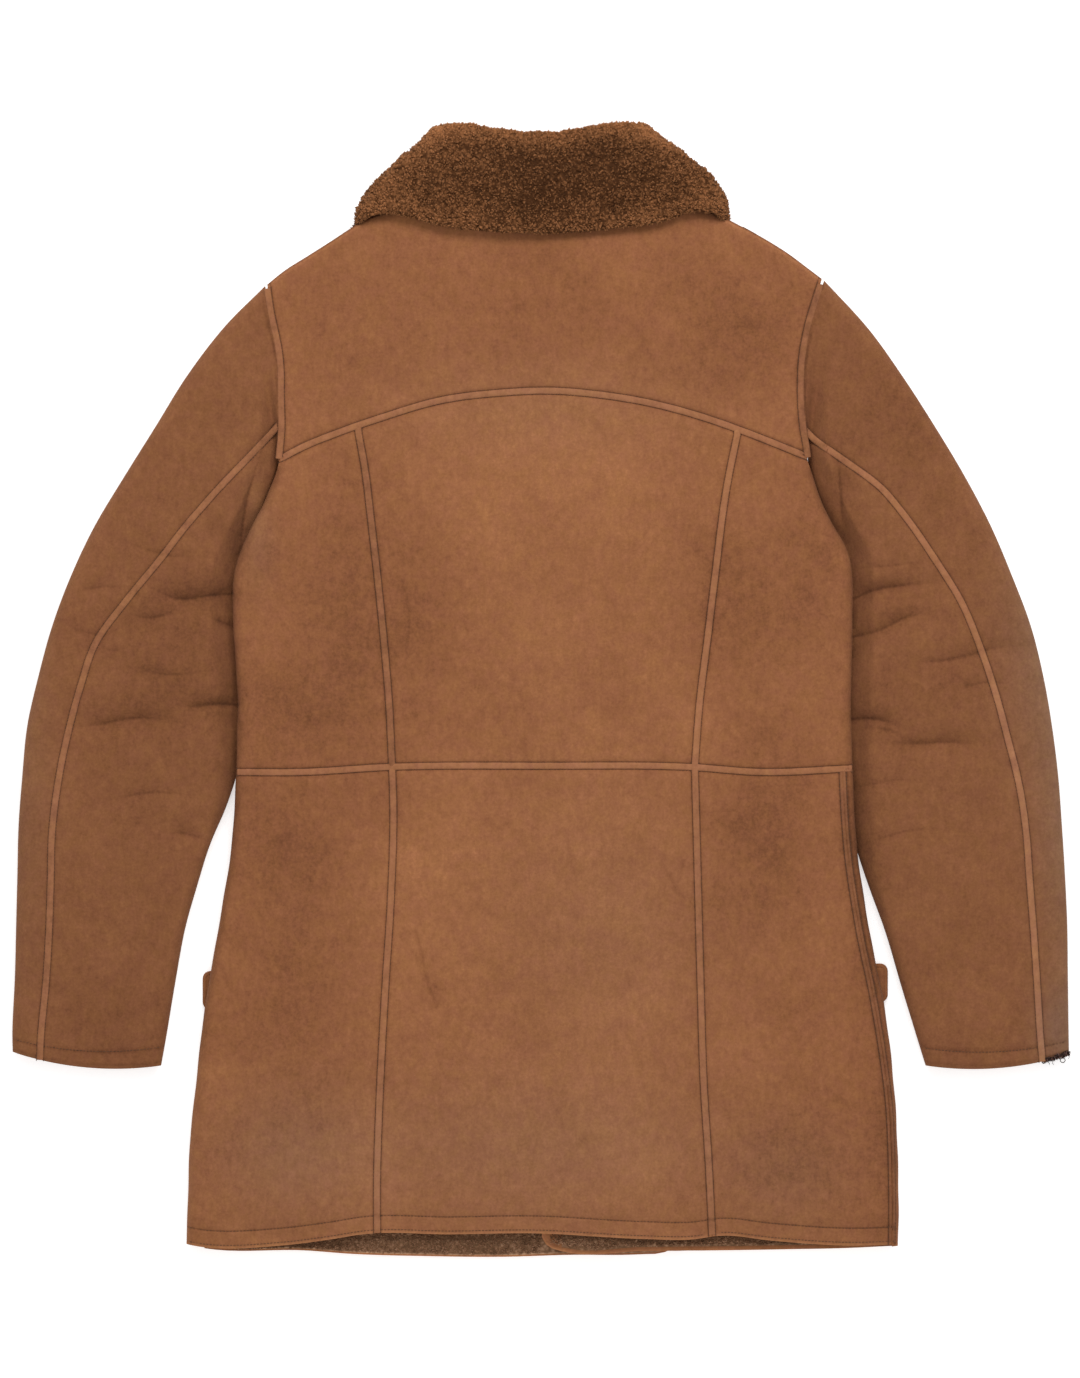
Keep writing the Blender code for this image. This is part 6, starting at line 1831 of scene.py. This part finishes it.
ON_PANELS = {"back_centre_upper": [straps["strap_upper_left"], straps["strap_upper_right"], seam_stitches],
             "back_yoke": [straps["strap_yoke"], straps["strap_armhole_left"], straps["strap_armhole_right"]],
             "back_centre_skirt": [straps["strap_waist"], straps["strap_skirt_left"],
                                   straps["strap_skirt_right"]],
             "back_side_skirt_right": [straps["strap_side_right"]],
             "front_skirt_left": [hem_curls], "front_upper_left": [low_stitches],
             "sleeve_left_top": [straps["strap_sleeve_left"]],
             "sleeve_right_top": [straps["strap_sleeve_right"], frayed, loose_threads]}
for node, (width, length, area, below) in CUTS.items():
    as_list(ON_PANELS.get(node, []))

# ---- floor, light and camera ---------------------------------------------------------------------

floor_mesh = bpy.data.meshes.new("floor")
floor_mesh.from_pydata([(-6, -6, -0.0005), (6, -6, -0.0005), (6, 6, -0.0005), (-6, 6, -0.0005)], [],
                       [(0, 1, 2, 3)])
paper = Nodes("floor_paper", (0.80, 0.80, 0.80), 0.9, Specular_IOR_Level=0.1, Emission_Strength=0.50,
              Emission_Color=(1.0, 1.0, 1.0, 1.0))
floor_mesh.materials.append(paper.mat)
shown("floor", floor_mesh)

world = bpy.data.worlds.new("studio")
bpy.context.scene.world = world
world.use_nodes = True
world.node_tree.nodes["Background"].inputs["Color"].default_value = (1.0, 1.0, 1.0, 1)
world.node_tree.nodes["Background"].inputs["Strength"].default_value = 0.60


def area_light(name, where, size, power):
    data = bpy.data.lights.new(name, "AREA")
    data.shape = "RECTANGLE"
    data.size, data.size_y = size
    data.energy = power
    lamp = shown(name, data)
    lamp.location = where
    lamp.rotation_euler = (-lamp.location).to_track_quat("-Z", "Y").to_euler()


area_light("softbox_top", (0.15, 2.1, 2.3), (2.4, 1.2), 62.0)
area_light("softbox_low", (0.4, -1.8, 3.0), (2.4, 1.6), 23.0)

# The camera stands far above. A pixel of its frame is 0.8 mm at the coat's middle height.
CAMERA_HEIGHT, FACE_HEIGHT, PIXEL, PICTURE_ROWS, SENSOR = 8.0, 0.015, 0.0008, 1378, 24.0
camera_data = bpy.data.cameras.new("camera")
camera = shown("camera", camera_data)
camera.location = (0.0003, 0.0004, CAMERA_HEIGHT)
camera_data.sensor_fit = "VERTICAL"
camera_data.sensor_height = SENSOR
camera_data.sensor_width = 36.0
camera_data.lens = SENSOR * (CAMERA_HEIGHT - FACE_HEIGHT) / (PICTURE_ROWS * PIXEL)
camera_data.clip_end = 50.0
bpy.context.scene.camera = camera
bpy.context.scene.view_settings.view_transform = "Standard"
